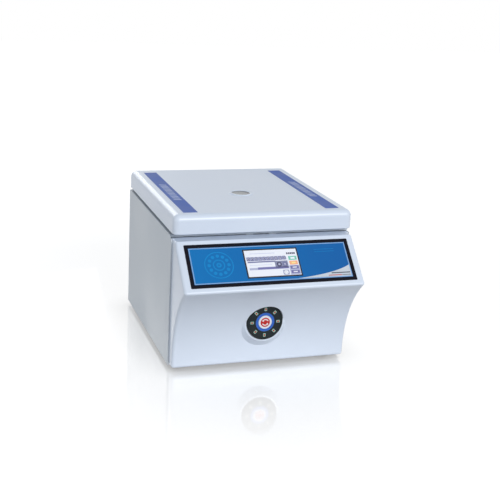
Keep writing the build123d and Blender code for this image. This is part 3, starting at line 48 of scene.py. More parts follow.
CAMERA_LENS = 69.157
SENSOR_WIDTH = 36.0

heading = Vector((sin(CAMERA_TURN), cos(CAMERA_TURN), 0.0))
ahead = heading * cos(CAMERA_TILT) + Vector((0.0, 0.0, -sin(CAMERA_TILT)))
level = Vector((cos(CAMERA_TURN), -sin(CAMERA_TURN), 0.0))
upright = level.cross(ahead)
across = cos(CAMERA_LEAN) * level + sin(CAMERA_LEAN) * upright
upward = cos(CAMERA_LEAN) * upright - sin(CAMERA_LEAN) * level
lens = bpy.data.cameras.new("camera")
lens.lens = CAMERA_LENS
lens.sensor_width = SENSOR_WIDTH
lens.clip_end = 20.0
camera = bpy.data.objects.new("camera", lens)
camera.matrix_world = Matrix((across, upward, -ahead)).transposed().to_4x4()
camera.location = CAMERA_PLACE
bpy.context.scene.collection.objects.link(camera)
bpy.context.scene.camera = camera


# Moulded covers: the lid and the front are injection-moulded in a pale blue-white plastic with a
# fine even grain. Wear shows as a lighter line along the edges.
def screen_colour(red, green, blue):
    """A colour given in the 0 to 255 values of a screen, as linear light."""
    shares = [value / 255 for value in (red, green, blue)]
    return (*[s / 12.92 if s <= 0.04045 else ((s + 0.055) / 1.055) ** 2.4 for s in shares], 1.0)


def add_node(tree, kind, inputs=None, **settings):
    made = tree.nodes.new("ShaderNode" + kind)
    for name, value in settings.items():
        setattr(made, name, value)
    for name, value in (inputs or {}).items():
        if isinstance(value, bpy.types.NodeSocket):
            tree.links.new(value, made.inputs[name])
        else:
            made.inputs[name].default_value = value
    return made


def calculate(tree, operation, first, second=0.0):
    return add_node(tree, "Math", {0: first, 1: second}, operation=operation).outputs[0]


def blend_colours(tree, share, first, second):
    made = add_node(tree, "Mix", {0: share, 6: first, 7: second}, data_type="RGBA")
    return made.outputs[2]


def spread(tree, value, low, high, new_low=0.0, new_high=1.0):
    """A value between low and high, spread over a new range."""
    limits = {"Value": value, "From Min": low, "From Max": high, "To Min": new_low, "To Max": new_high}
    return add_node(tree, "MapRange", limits).outputs[0]


def begin_group(name, inputs, outputs):
    tree = bpy.data.node_groups.new(name, "ShaderNodeTree")
    for label, value in inputs.items():
        kind = "NodeSocketVector" if isinstance(value, tuple) else "NodeSocketFloat"
        socket = tree.interface.new_socket(label, in_out="INPUT", socket_type=kind)
        socket.default_value = value
    for label in outputs:
        tree.interface.new_socket(label, in_out="OUTPUT", socket_type="NodeSocketFloat")
    return tree, tree.nodes.new("NodeGroupInput").outputs, tree.nodes.new("NodeGroupOutput").inputs


def place_group(tree, group, **values):
    made = tree.nodes.new("ShaderNodeGroup")
    made.node_tree = group
    for name, value in values.items():
        made.inputs[name].default_value = value
    return made.outputs


# Grain: fine bumps of the mould or the paint, and a slow drift in tone over the surface
TONE_LOW = 0.3
TONE_HIGH = 0.7

grain_tree, given, result = begin_group("grain", {"Cells": 1500.0, "Drift": 9.0}, ["Height", "Tone"])
where = add_node(grain_tree, "TexCoord").outputs["Object"]
fine = add_node(grain_tree, "TexNoise", {"Vector": where, "Scale": given["Cells"], "Detail": 3.0})
slow = add_node(grain_tree, "TexNoise", {"Vector": where, "Scale": given["Drift"], "Detail": 5.0})
grain_tree.links.new(fine.outputs["Fac"], result["Height"])
grain_tree.links.new(slow.outputs["Fac"], result["Tone"])


def by_tone(tree, tone, low=0.0, high=1.0):
    """A value that follows a slow drift in tone, from low to high."""
    return spread(tree, tone, TONE_LOW, TONE_HIGH, low, high)


# Edge: how near a point is to an outer edge, broken up as handling wears it
EDGE_START = 0.01
EDGE_FULL = 0.16
PATCH_LOW = 0.38
PATCH_HIGH = 0.62

edge_tree, given, result = begin_group("edge", {"Width": 0.0008, "Breaks": 220.0}, ["Edge"])
rounded = add_node(edge_tree, "Bevel", {"Radius": given["Width"]}, samples=6).outputs["Normal"]
flat = add_node(edge_tree, "NewGeometry").outputs["Normal"]
facing = add_node(edge_tree, "VectorMath", {0: rounded, 1: flat}, operation="DOT_PRODUCT")
turning = calculate(edge_tree, "SUBTRACT", 1.0, facing.outputs["Value"])
turned = spread(edge_tree, turning, EDGE_START, EDGE_FULL)
where = add_node(edge_tree, "TexCoord").outputs["Object"]
breaks = add_node(edge_tree, "TexNoise", {"Vector": where, "Scale": given["Breaks"], "Detail": 4.0})
patches = spread(edge_tree, breaks.outputs["Fac"], PATCH_LOW, PATCH_HIGH)
edge_tree.links.new(calculate(edge_tree, "MULTIPLY", turned, patches), result["Edge"])

# Dust and painted shade: a faint grey bloom in corners and recesses, set by how little of the room they
# see. It greys dark finishes as dust and darkens pale ones as painted shade.
DUST_AND_SHADE_COLOUR = screen_colour(150, 148, 142)
OPEN_NO_DUST_OR_SHADE = 0.85
OPEN_MOST_DUST_AND_SHADE = 0.25

dust_and_shade_tree, given, result = begin_group("dust_and_shade", {"Reach": 0.012, "Specks": 600.0}, ["Dust"])
openness = add_node(dust_and_shade_tree, "AmbientOcclusion", {"Distance": given["Reach"]}, samples=4).outputs["AO"]
where = add_node(dust_and_shade_tree, "TexCoord").outputs["Object"]
specks = add_node(dust_and_shade_tree, "TexNoise", {"Vector": where, "Scale": given["Specks"], "Detail": 6.0})
hidden = spread(dust_and_shade_tree, openness, OPEN_NO_DUST_OR_SHADE, OPEN_MOST_DUST_AND_SHADE)
settled_and_shaded = calculate(dust_and_shade_tree, "MULTIPLY", hidden, by_tone(dust_and_shade_tree, specks.outputs["Fac"]))
dust_and_shade_tree.links.new(settled_and_shaded, result["Dust"])


def start_material(name):
    material = bpy.data.materials.new(name)
    material.use_nodes = True
    return material, material.node_tree, material.node_tree.nodes["Principled BSDF"]


def soft_bump(tree, shader, height, depth, edge_radius=0.0004):
    """Bumps of a real depth, over edges that catch light as if slightly rounded."""
    rounded = add_node(tree, "Bevel", {"Radius": edge_radius}, samples=4).outputs["Normal"]
    bump = add_node(tree, "Bump", {"Height": height, "Distance": depth, "Normal": rounded})
    bump.inputs["Strength"].default_value = 1.0
    tree.links.new(bump.outputs["Normal"], shader.inputs["Normal"])


def coloured_surface(
    name, colour, worn, rough, cells, depth, drift=9.0, wear=0.4, dust_and_shade=0.25, swing=0.05
):
    """A plastic, paint or rubber: a drifting tone, grain, worn edges, and dust and painted shade in its
    corners.
    """
    material, tree, shader = start_material(name)
    grain = place_group(tree, grain_tree, Cells=cells, Drift=drift)
    darker = tuple(channel * (1 - swing) for channel in colour[:3]) + (1.0,)
    lighter = tuple(min(1.0, channel * (1 + swing)) for channel in colour[:3]) + (1.0,)
    tone = blend_colours(tree, by_tone(tree, grain["Tone"]), darker, lighter)
    edge = calculate(tree, "MULTIPLY", place_group(tree, edge_tree)["Edge"], wear)
    # Dust and painted shade: grey laid into hollows, which greys dark finishes as dust and darkens pale
    # ones as painted shade.
    dust_and_shade_bloom = calculate(tree, "MULTIPLY", place_group(tree, dust_and_shade_tree)["Dust"], dust_and_shade)
    used = blend_colours(tree, edge, tone, worn)
    tree.links.new(blend_colours(tree, dust_and_shade_bloom, used, DUST_AND_SHADE_COLOUR), shader.inputs["Base Color"])
    tree.links.new(by_tone(tree, grain["Tone"], *rough), shader.inputs["Roughness"])
    soft_bump(tree, shader, grain["Height"], depth)
    return material, shader


def dress(material, slot, *nodes):
    """Gives CAD nodes their finish."""
    for name in nodes:
        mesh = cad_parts[name].data
        mesh.materials.clear()
        mesh.materials.append(material)


moulding, moulding_shader = coloured_surface(
    "moulding",
    colour=screen_colour(221, 231, 246),
    worn=screen_colour(238, 243, 250),
    rough=(0.30, 0.40),
    cells=1400.0,
    depth=0.00003,
    drift=6.0,
    wear=0.25,
    dust_and_shade=0.12,
    swing=0.012,
)
moulding_shader.inputs["Coat Weight"].default_value = 0.15
moulding_shader.inputs["Coat Roughness"].default_value = 0.25
dress(moulding, "moulding", "front_fascia", "lid_shell", "lid_liner", "sight_bezel")


# Cabinet sheets: folded sheet steel with a fine textured powder coat, a little greyer than the
# moulded covers.
paint, _ = coloured_surface(
    "cabinet_paint",
    colour=screen_colour(208, 215, 222),
    worn=screen_colour(228, 232, 236),
    rough=(0.42, 0.55),
    cells=2600.0,
    depth=0.00006,
    drift=5.0,
    wear=0.3,
    dust_and_shade=0.2,
    swing=0.015,
)
dress(paint, "cabinet_paint", "side_panel_left", "side_panel_right", "rear_panel", "top_deck")


# Lid stripes: two strips of violet-blue vinyl film along the lid, with a printed row of slanted
# strokes near the middle of each.
stripe_film, film_shader = coloured_surface(
    "stripe_film",
    colour=screen_colour(70, 104, 184),
    worn=screen_colour(120, 142, 204),
    rough=(0.32, 0.46),
    cells=3200.0,
    depth=0.00001,
    drift=30.0,
    wear=0.5,
    dust_and_shade=0.1,
    swing=0.06,
)
film_shader.inputs["Specular IOR Level"].default_value = 0.06
dress(stripe_film, "stripe_blue", "lid_stripe_left", "lid_stripe_right")


def printing_ink(name, colour, rough=0.38):
    """Screen-printed ink: an even film with fine pinholes and a slight drift in strength."""
    ink, ink_shader = coloured_surface(
        name,
        colour=colour,
        worn=colour,
        rough=(rough, rough + 0.1),
        cells=5200.0,
        depth=0.000006,
        drift=45.0,
        wear=0.0,
        dust_and_shade=0.05,
        swing=0.05,
    )
    ink_shader.inputs["Specular IOR Level"].default_value = 0.2
    return ink


def prism(mesh, frame_matrix, outline, low, high, slot=0):
    """A flat closed piece: an outline in a plane, from a low to a high face above that plane."""
    rings = []
    for height in (low, high):
        rings.append([mesh.verts.new(frame_matrix @ Vector((x, y, height))) for x, y in outline])
    count = len(outline)
    faces = [mesh.faces.new(rings[1]), mesh.faces.new(rings[0][::-1])]
    for index in range(count):
        after = (index + 1) % count
        corners = (rings[0][index], rings[0][after], rings[1][after], rings[1][index])
        faces.append(mesh.faces.new(corners))
    for face in faces:
        face.material_index = slot


def band(mesh, frame_matrix, outer, inner, low, high, slot=0):
    """A closed flat band between two outlines with as many points each."""
    corners = []
    for height in (low, high):
        for outline in (outer, inner):
            corners.append([mesh.verts.new(frame_matrix @ Vector((x, y, height))) for x, y in outline])
    low_outer, low_inner, high_outer, high_inner = corners
    for index in range(len(outer)):
        after = (index + 1) % len(outer)
        for first, second in ((high_outer, high_inner), (high_inner, low_inner), (low_inner, low_outer)):
            face = mesh.faces.new((first[index], first[after], second[after], second[index]))
            face.material_index = slot
        face = mesh.faces.new((low_outer[index], low_outer[after], high_outer[after], high_outer[index]))
        face.material_index = slot


def rectangle(left, bottom, right, top):
    return [(left, bottom), (right, bottom), (right, top), (left, top)]


def circle(centre_x, centre_y, radius, count=32):
    turns = [2 * pi * index / count for index in range(count)]
    return [(centre_x + radius * cos(turn), centre_y + radius * sin(turn)) for turn in turns]


def make_piece(name, mesh, body, slot, *materials):
    """Turns a finished mesh into a piece that rides on a body."""
    bmesh.ops.recalc_face_normals(mesh, faces=mesh.faces)
    data = bpy.data.meshes.new(name)
    mesh.to_mesh(data)
    mesh.free()
    for material in materials:
        data.materials.append(material)
    piece = bpy.data.objects.new(name, data)
    bpy.context.scene.collection.objects.link(piece)
    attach(piece, body)
    return piece


MM = 0.001
STROKE_COUNT = 11
STROKE_PITCH = 11.0 * MM
STROKE_WIDTH = 5.6 * MM
STROKE_HEIGHT = 13.0 * MM
STROKE_SLANT = 4.0 * MM
STROKE_SHIFT = -8.0 * MM
INK_BASE = 0.01 * MM
INK_TOP = 0.05 * MM

stripe_ink = printing_ink("stripe_ink", screen_colour(176, 190, 226))
for side in ("left", "right"):
    low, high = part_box("lid_stripe_" + side)
    centre = (low + high) / 2
    place = Matrix.Translation((centre.x, centre.y + STROKE_SHIFT, high.z))
    on_stripe = place @ Matrix.Rotation(pi / 2, 4, "Z")
    strokes = bmesh.new()
    for index in range(STROKE_COUNT):
        start = (index - STROKE_COUNT / 2) * STROKE_PITCH
        bottom, top = -STROKE_HEIGHT / 2, STROKE_HEIGHT / 2
        outline = [
            (start, bottom),
            (start + STROKE_WIDTH, bottom),
            (start + STROKE_WIDTH + STROKE_SLANT, top),
            (start + STROKE_SLANT, top),
        ]
        prism(strokes, on_stripe, outline, INK_BASE, INK_TOP)
    make_piece("stripe_strokes_" + side, strokes, "lid", "stripe_blue", stripe_ink)


# Sight window: a clear polycarbonate disc in a black tube, through which the spinning rotor can
# be checked with a strobe.
GLASS_TINT = (0.70, 0.76, 0.80, 1.0)
GLASS_BEND = 1.45
GLASS_ROUGH = (0.02, 0.08)

glass, tree, shader = start_material("sight_glass")
grain = place_group(tree, grain_tree, Cells=900.0, Drift=40.0)
shader.inputs["Base Color"].default_value = GLASS_TINT
shader.inputs["Transmission Weight"].default_value = 1.0
shader.inputs["IOR"].default_value = GLASS_BEND
shader.inputs["Specular IOR Level"].default_value = 0.15
tree.links.new(by_tone(tree, grain["Tone"], *GLASS_ROUGH), shader.inputs["Roughness"])
soft_bump(tree, shader, grain["Height"], 0.000004)
dress(glass, "sight_glass", "sight_glass")

black_plastic, _ = coloured_surface(
    "black_plastic",
    colour=screen_colour(30, 31, 33),
    worn=screen_colour(92, 93, 96),
    rough=(0.38, 0.52),
    cells=2400.0,
    depth=0.00004,
    wear=0.35,
    dust_and_shade=0.3,
    swing=0.12,
)
dress(
    black_plastic,
    "black_plastic",
    "sight_tube",
    "dial_encoder",
    "power_inlet",
    "mains_switch",
    "fuse_drawer",
    "switch_rocker",
)


# Console: a gloss navy-black frame round a printed blue panel. The panel's tone falls from
# azure at the left to a deeper blue at the right.
frame_black, black_shader = coloured_surface(
    "frame_black",
    colour=screen_colour(9, 8, 22),
    worn=screen_colour(50, 52, 74),
    rough=(0.22, 0.32),
    cells=1800.0,
    depth=0.00001,
    wear=0.3,
    dust_and_shade=0.06,
    swing=0.1,
)
black_shader.inputs["Specular IOR Level"].default_value = 0.12
dress(frame_black, "frame_black", "console_frame")

CONSOLE_ANGLE = radians(43.1)
PANEL_LEFT = screen_colour(16, 118, 188)
PANEL_MIDDLE = screen_colour(16, 106, 176)
PANEL_RIGHT = screen_colour(16, 96, 168)
PANEL_ROUGH = (0.30, 0.42)
PANEL_DRIFT = 0.06

panel, tree, shader = start_material("console_print")
grain = place_group(tree, grain_tree, Cells=4200.0, Drift=18.0)
low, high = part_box("console_overlay")
where = add_node(tree, "SeparateXYZ", {0: add_node(tree, "TexCoord").outputs["Object"]}).outputs["X"]
to_middle = spread(tree, where, low.x, 0.0)
to_right = spread(tree, where, 0.0, high.x)
left_half = blend_colours(tree, to_middle, PANEL_LEFT, PANEL_MIDDLE)
field = blend_colours(tree, to_right, left_half, PANEL_RIGHT)
drift = by_tone(tree, grain["Tone"], high=PANEL_DRIFT)
tree.links.new(blend_colours(tree, drift, field, PANEL_LEFT), shader.inputs["Base Color"])
tree.links.new(by_tone(tree, grain["Tone"], *PANEL_ROUGH), shader.inputs["Roughness"])
shader.inputs["Specular IOR Level"].default_value = 0.2
soft_bump(tree, shader, grain["Height"], 0.000012, edge_radius=0.0002)
dress(panel, "panel_blue", "console_overlay")


def console_plane(node):
    """The plane of a console piece's upper face, with X across and Y up the slope."""
    up_slope = Vector((0.0, cos(CONSOLE_ANGLE), sin(CONSOLE_ANGLE)))
    outward = Vector((0.0, -sin(CONSOLE_ANGLE), cos(CONSOLE_ANGLE)))
    corners = [Vector(vertex.co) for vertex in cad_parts[node].data.vertices]
    heights = [corner.dot(outward) for corner in corners]
    slopes = [corner.dot(up_slope) for corner in corners]
    widths = [corner.x for corner in corners]
    middle = Vector(((min(widths) + max(widths)) / 2, 0.0, 0.0))
    origin = middle + up_slope * (min(slopes) + max(slopes)) / 2 + outward * max(heights)
    place = Matrix((Vector((1.0, 0.0, 0.0)), up_slope, outward)).transposed().to_4x4()
    place.translation = origin
    return place, (max(widths) - min(widths)) / 2, (max(slopes) - min(slopes)) / 2


# Panel print: a pale outline, a grey sweep in the lower right corner with two short rules, a
# faint ring of tube places at the left and two thin lines at the right.
LINE_INSET = 0.4 * MM
LINE_WIDTH = 1.7 * MM
SWEEP_STEPS = 24
SWEEP_START = (-10.0, -34.5)
SWEEP_FIRST_PULL = (60.0, -32.5)
SWEEP_SECOND_PULL = (114.0, -24.0)
SWEEP_END_RISE = -10.5
MOTIF_PLACE = (-92.0, 0.5)
MOTIF_RADIUS = 25.0
MOTIF_RINGS = ((1.0, 0.93), (0.42, 0.34), (0.18, 0.06))
MOTIF_PLACES = 12
PLACE_REACH = 0.68
PLACE_SIZE = 0.12
RING_STEPS = 96

on_panel, panel_half_width, panel_half_length = console_plane("console_overlay")
line_ink = printing_ink("line_ink", screen_colour(140, 180, 226))
sweep_ink = printing_ink("sweep_ink", screen_colour(208, 215, 224))
motif_ink = printing_ink("motif_ink", screen_colour(22, 138, 206))
red_ink = printing_ink("red_ink", screen_colour(206, 58, 66))
grey_ink = printing_ink("grey_ink", screen_colour(84, 90, 104))


def in_metres(points):
    return [(x * MM, y * MM) for x, y in points]


panel_print = bmesh.new()
outer_x, outer_y = panel_half_width - LINE_INSET, panel_half_length - LINE_INSET
inner_x, inner_y = outer_x - LINE_WIDTH, outer_y - LINE_WIDTH
outer_line = rectangle(-outer_x, -outer_y, outer_x, outer_y)
inner_line = rectangle(-inner_x, -inner_y, inner_x, inner_y)
band(panel_print, on_panel, outer_line, inner_line, INK_BASE, INK_TOP, slot=0)

sweep_end = (inner_x / MM, SWEEP_END_RISE)
sweep = []
for step in range(SWEEP_STEPS + 1):
    t = step / SWEEP_STEPS
    shares = ((1 - t) ** 3, 3 * t * (1 - t) ** 2, 3 * t * t * (1 - t), t**3)
    handles = (SWEEP_START, SWEEP_FIRST_PULL, SWEEP_SECOND_PULL, sweep_end)
    x = sum(share * handle[0] for share, handle in zip(shares, handles)) * MM
    y = sum(share * handle[1] for share, handle in zip(shares, handles)) * MM
    if y > -inner_y:
        sweep.append((x, y))
sweep.append((inner_x, -inner_y))
prism(panel_print, on_panel, sweep[::-1], INK_BASE, INK_TOP, slot=1)

motif_x, motif_y = MOTIF_PLACE
for outer, inner in MOTIF_RINGS:
    outer_ring = circle(motif_x, motif_y, outer * MOTIF_RADIUS, RING_STEPS)
    inner_ring = circle(motif_x, motif_y, inner * MOTIF_RADIUS, RING_STEPS)
    band(panel_print, on_panel, in_metres(outer_ring), in_metres(inner_ring), INK_BASE, INK_TOP, slot=2)
for index in range(MOTIF_PLACES):
    turn = 2 * pi * index / MOTIF_PLACES
    place_x = motif_x + PLACE_REACH * MOTIF_RADIUS * cos(turn)
    place_y = motif_y + PLACE_REACH * MOTIF_RADIUS * sin(turn)
    tube_place = circle(place_x, place_y, PLACE_SIZE * MOTIF_RADIUS)
    prism(panel_print, on_panel, in_metres(tube_place), INK_BASE, INK_TOP, slot=2)

RULES_LEFT = 96.0
RED_RULE = rectangle(RULES_LEFT, -30.0, RULES_LEFT + 24.0, -28.7)
GREY_RULE = rectangle(RULES_LEFT + 24.5, -30.0, RULES_LEFT + 41.0, -29.0)
SHORT_BAR = rectangle(RULES_LEFT + 6.0, -26.0, RULES_LEFT + 40.0, -24.2)
THIN_LINE_RISES = (21.5, 17.0)
THIN_LINE_LEFT = 80.0
THIN_LINE_RIGHT = 116.0
THIN_LINE_HEIGHT = 0.7

rule_top = INK_TOP + INK_TOP
for outline, slot in ((RED_RULE, 3), (GREY_RULE, 4), (SHORT_BAR, 4)):
    prism(panel_print, on_panel, in_metres(outline), INK_TOP, rule_top, slot=slot)
for rise in THIN_LINE_RISES:
    thin_line = rectangle(THIN_LINE_LEFT, rise, THIN_LINE_RIGHT, rise + THIN_LINE_HEIGHT)
    prism(panel_print, on_panel, in_metres(thin_line), INK_BASE, INK_TOP, slot=2)
inks = (line_ink, sweep_ink, motif_ink, red_ink, grey_ink)
make_piece("console_printing", panel_print, "cabinet", "panel_blue", *inks)


# Screen: a colour display behind black-bordered glass. The picture is a plain run page: a row of
# value fields, a progress bar, two gauges, a round knob and a column of keys at the right.
screen_black, _ = coloured_surface(
    "screen_border",
    colour=screen_colour(16, 15, 30),
    worn=screen_colour(50, 50, 66),
    rough=(0.08, 0.16),
    cells=900.0,
    depth=0.000003,
    wear=0.1,
    dust_and_shade=0.04,
    swing=0.1,
)
dress(screen_black, "screen", "screen_glass")

PIXEL_PITCH = 0.2 * MM
WAVES_PER_UNIT = 20
PIXEL_DIMMING = 0.35
WEAKEST_ROW = 0.4
DIM_SHARE = 0.9
PIXEL_ROUGH = (0.10, 0.20)
SCREEN_GLOW = 0.12
SCREEN_BORDER = 2.3 * MM

# Pixels: fine rows over the display, a little uneven in strength
row_scale = 1 / (PIXEL_PITCH * WAVES_PER_UNIT)
pixel_tree, given, result = begin_group("pixels", {"Rows": row_scale}, ["Dimming"])
where = add_node(pixel_tree, "TexCoord").outputs["Object"]
wave = {"Vector": where, "Scale": given["Rows"], "Distortion": 0.0}
rows = add_node(pixel_tree, "TexWave", wave, bands_direction="X").outputs["Fac"]
uneven = place_group(pixel_tree, grain_tree, Cells=2600.0, Drift=60.0)["Tone"]
strength = calculate(pixel_tree, "MULTIPLY", by_tone(pixel_tree, uneven, low=WEAKEST_ROW), rows)
pixel_tree.links.new(spread(pixel_tree, strength, 0.0, 1.0, 0.0, PIXEL_DIMMING), result["Dimming"])


def lit_pixels(name, colour):
    """A patch of the lit display: rows of pixels under glass, with a soft glow."""
    material, tree, shader = start_material(name)
    grain = place_group(tree, grain_tree, Cells=2600.0, Drift=60.0)
    dim = tuple(channel * DIM_SHARE for channel in colour[:3]) + (1.0,)
    lit = blend_colours(tree, place_group(tree, pixel_tree)["Dimming"], colour, dim)
    tree.links.new(lit, shader.inputs["Base Color"])
    tree.links.new(lit, shader.inputs["Emission Color"])
    shader.inputs["Emission Strength"].default_value = SCREEN_GLOW
    tree.links.new(by_tone(tree, grain["Tone"], *PIXEL_ROUGH), shader.inputs["Roughness"])
    soft_bump(tree, shader, grain["Height"], 0.000002, edge_radius=0.0001)
    return material


on_screen, screen_half_width, screen_half_length = console_plane("screen_glass")
page_width = 2 * (screen_half_width - SCREEN_BORDER)
page_length = 2 * (screen_half_length - SCREEN_BORDER)


def page_place(u, v):
    """A place on the page: u from its left and v from its top, as shares of the page."""
    return (u - 0.5) * page_width, (0.5 - v) * page_length


def page_box(u0, v0, u1, v1):
    left, top = page_place(u0, v0)
    right, bottom = page_place(u1, v1)
    return rectangle(left, bottom, right, top)


WHITE, LILAC, PALE, GREY, VIOLET, TEAL, ORANGE, YELLOW, DARK, SILVER = range(10)
page_materials = [
    lit_pixels("page_white", screen_colour(234, 237, 245)),
    lit_pixels("page_lilac", screen_colour(112, 116, 158)),
    lit_pixels("page_pale", screen_colour(206, 208, 232)),
    lit_pixels("page_grey", screen_colour(132, 136, 166)),
    lit_pixels("page_violet", screen_colour(116, 116, 170)),
    lit_pixels("page_teal", screen_colour(120, 196, 176)),
    lit_pixels("page_orange", screen_colour(244, 172, 130)),
    lit_pixels("page_yellow", screen_colour(250, 222, 150)),
    lit_pixels("page_dark", screen_colour(64, 62, 92)),
    lit_pixels("page_silver", screen_colour(176, 180, 208)),
]
LAYER = 0.03 * MM
page = bmesh.new()


def page_layer(outline, slot, layer):
    prism(page, on_screen, outline, INK_BASE + layer * LAYER, INK_BASE + (layer + 1) * LAYER, slot)


whole_page = page_box(0.0, 0.0, 1.0, 1.0)
title_line = page_box(0.10, 0.12, 0.58, 0.145)
field_tray = page_box(0.02, 0.28, 0.78, 0.405)
progress_bar = page_box(0.03, 0.425, 0.56, 0.475)
gauge_tray = page_box(0.54, 0.44, 0.79, 0.70)
caption_line = page_box(0.06, 0.56, 0.48, 0.575)
back_button = page_box(0.04, 0.67, 0.20, 0.75)
start_button = page_box(0.20, 0.655, 0.79, 0.745)
knob_tray = page_box(0.66, 0.79, 0.78, 0.98)
key_tray = page_box(0.80, 0.63, 0.995, 0.99)
page_layer(whole_page, WHITE, 0)
for outline in (title_line, caption_line):
    page_layer(outline, PALE, 1)
for outline in (field_tray, back_button, knob_tray, key_tray):
    page_layer(outline, SILVER, 1)
page_layer(progress_bar, LILAC, 1)
page_layer(gauge_tray, GREY, 1)
page_layer(start_button, VIOLET, 1)

CLOCK_DIGITS = 5
CLOCK_LEFT = 0.80
DIGIT_PITCH = 0.035
DIGIT_WIDTH = 0.027
for index in range(CLOCK_DIGITS):
    left = CLOCK_LEFT + index * DIGIT_PITCH
    page_layer(page_box(left, 0.135, left + DIGIT_WIDTH, 0.205), DARK, 1)

FIELD_COUNT = 10
FIELDS_LEFT = 0.025
FIELD_PITCH = 0.0755
FIELD_WIDTH = 0.064
for index in range(FIELD_COUNT):
    left = FIELDS_LEFT + index * FIELD_PITCH
    page_layer(page_box(left, 0.26, left + FIELD_WIDTH, 0.40), LILAC, 2)
    page_layer(page_box(left + 0.014, 0.295, left + 0.05, 0.365), PALE, 3)
    page_layer(page_box(left + 0.022, 0.31, left + 0.042, 0.35), DARK, 4)

GAUGE_RADII = (4.4 * MM, 2.8 * MM, 1.2 * MM)
for centre_u, rim_slot in ((0.62, DARK), (0.73, LILAC)):
    gauge_x, gauge_y = page_place(centre_u, 0.57)
    for layer, (radius, slot) in enumerate(zip(GAUGE_RADII, (rim_slot, GREY, PALE)), start=2):
        page_layer(circle(gauge_x, gauge_y, radius), slot, layer)

KNOB_RADIUS = 4.6 * MM
KNOB_RIM = 0.6 * MM
knob_x, knob_y = page_place(0.72, 0.885)
page_layer(circle(knob_x, knob_y, KNOB_RADIUS), LILAC, 2)
page_layer(circle(knob_x, knob_y, KNOB_RADIUS - KNOB_RIM), WHITE, 3)

KEY_LEFT = 0.82
KEY_RIGHT = 0.98
KEY_RIM = 0.04
open_key = (0.28, 0.43, TEAL, WHITE)
stop_key = (0.46, 0.61, ORANGE, YELLOW)
menu_key = (0.65, 0.77, VIOLET, WHITE)
help_key = (0.82, 0.94, VIOLET, WHITE)
for top, bottom, rim_slot, face_slot in (open_key, stop_key, menu_key, help_key):
    page_layer(page_box(KEY_LEFT, top, KEY_RIGHT, bottom), rim_slot, 2)
    face = page_box(KEY_LEFT + KEY_RIM, top + KEY_RIM, KEY_RIGHT - KEY_RIM, bottom - KEY_RIM)
    page_layer(face, face_slot, 3)
make_piece("screen_page", page, "cabinet", "screen", *page_materials)


# Jog dial: a satin black disc with eight lamps in green-white frames, a blue ring, and a white
# centre cap that presses in. The cap's red disc carries a pair of turning arrows.
dial_black, dial_shader = coloured_surface(
    "dial_black",
    colour=screen_colour(12, 24, 28),
    worn=screen_colour(60, 72, 76),
    rough=(0.34, 0.48),
    cells=2800.0,
    depth=0.00002,
    wear=0.3,
    dust_and_shade=0.1,
    swing=0.15,
)
dial_shader.inputs["Specular IOR Level"].default_value = 0.2
dress(dial_black, "dial_black", "dial_knob")

dial_blue, _ = coloured_surface(
    "dial_blue",
    colour=screen_colour(20, 92, 190),
    worn=screen_colour(90, 146, 220),
    rough=(0.28, 0.38),
    cells=2200.0,
    depth=0.00001,
    wear=0.4,
    dust_and_shade=0.1,
    swing=0.06,
)
dress(dial_blue, "dial_blue", "dial_ring")

cap_white, _ = coloured_surface(
    "cap_white",
    colour=screen_colour(232, 234, 240),
    worn=screen_colour(246, 247, 250),
    rough=(0.28, 0.38),
    cells=1800.0,
    depth=0.00001,
    wear=0.3,
    dust_and_shade=0.1,
    swing=0.02,
)
dress(cap_white, "cap_white", "dial_cap")

mark_green, _ = coloured_surface(
    "mark_green",
    colour=screen_colour(146, 196, 178),
    worn=screen_colour(214, 232, 224),
    rough=(0.30, 0.42),
    cells=2600.0,
    depth=0.00001,
    wear=0.6,
    dust_and_shade=0.05,
    swing=0.08,
)
dress(mark_green, "mark_green", "dial_marks")

lamp_red, lamp_shader = coloured_surface(
    "lamp_red",
    colour=screen_colour(190, 16, 16),
    worn=screen_colour(230, 90, 80),
    rough=(0.18, 0.28),
    cells=1600.0,
    depth=0.00001,
    wear=0.3,
    dust_and_shade=0.05,
    swing=0.08,
)
lamp_shader.inputs["Specular IOR Level"].default_value = 0.3
dress(lamp_red, "lamp_red", "dial_lamps", "dial_dot")

ARROW_OUTER = 6.1 * MM
ARROW_INNER = 4.3 * MM
ARROW_SWEEP = radians(112)
ARROW_START = radians(24)
ARROW_HEAD = 2.3 * MM
ARROW_STEPS = 14
HEAD_STRETCH = 1.2

low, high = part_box("dial_dot")
dot_centre = (low + high) / 2
on_dot = Matrix.Translation((dot_centre.x, low.y, dot_centre.z)) @ Matrix.Rotation(pi / 2, 4, "X")
arrows = bmesh.new()
middle = (ARROW_OUTER + ARROW_INNER) / 2
for half_turn in (0.0, pi):
    start = half_turn + ARROW_START
    turns = [start + ARROW_SWEEP * step / ARROW_STEPS for step in range(ARROW_STEPS + 1)]
    outer = [(ARROW_OUTER * cos(turn), ARROW_OUTER * sin(turn)) for turn in turns]
    inner = [(ARROW_INNER * cos(turn), ARROW_INNER * sin(turn)) for turn in turns]
    end = turns[-1]
    tip_turn = end + ARROW_HEAD / middle * HEAD_STRETCH
    head = [
        ((middle + ARROW_HEAD) * cos(end), (middle + ARROW_HEAD) * sin(end)),
        (middle * cos(tip_turn), middle * sin(tip_turn)),
        ((middle - ARROW_HEAD) * cos(end), (middle - ARROW_HEAD) * sin(end)),
    ]
    prism(arrows, on_dot, outer + head + inner[::-1], INK_BASE, INK_TOP)
arrow_ink = printing_ink("arrow_ink", screen_colour(240, 236, 238))
make_piece("cap_arrows", arrows, "dial_cap", "cap_white", arrow_ink)


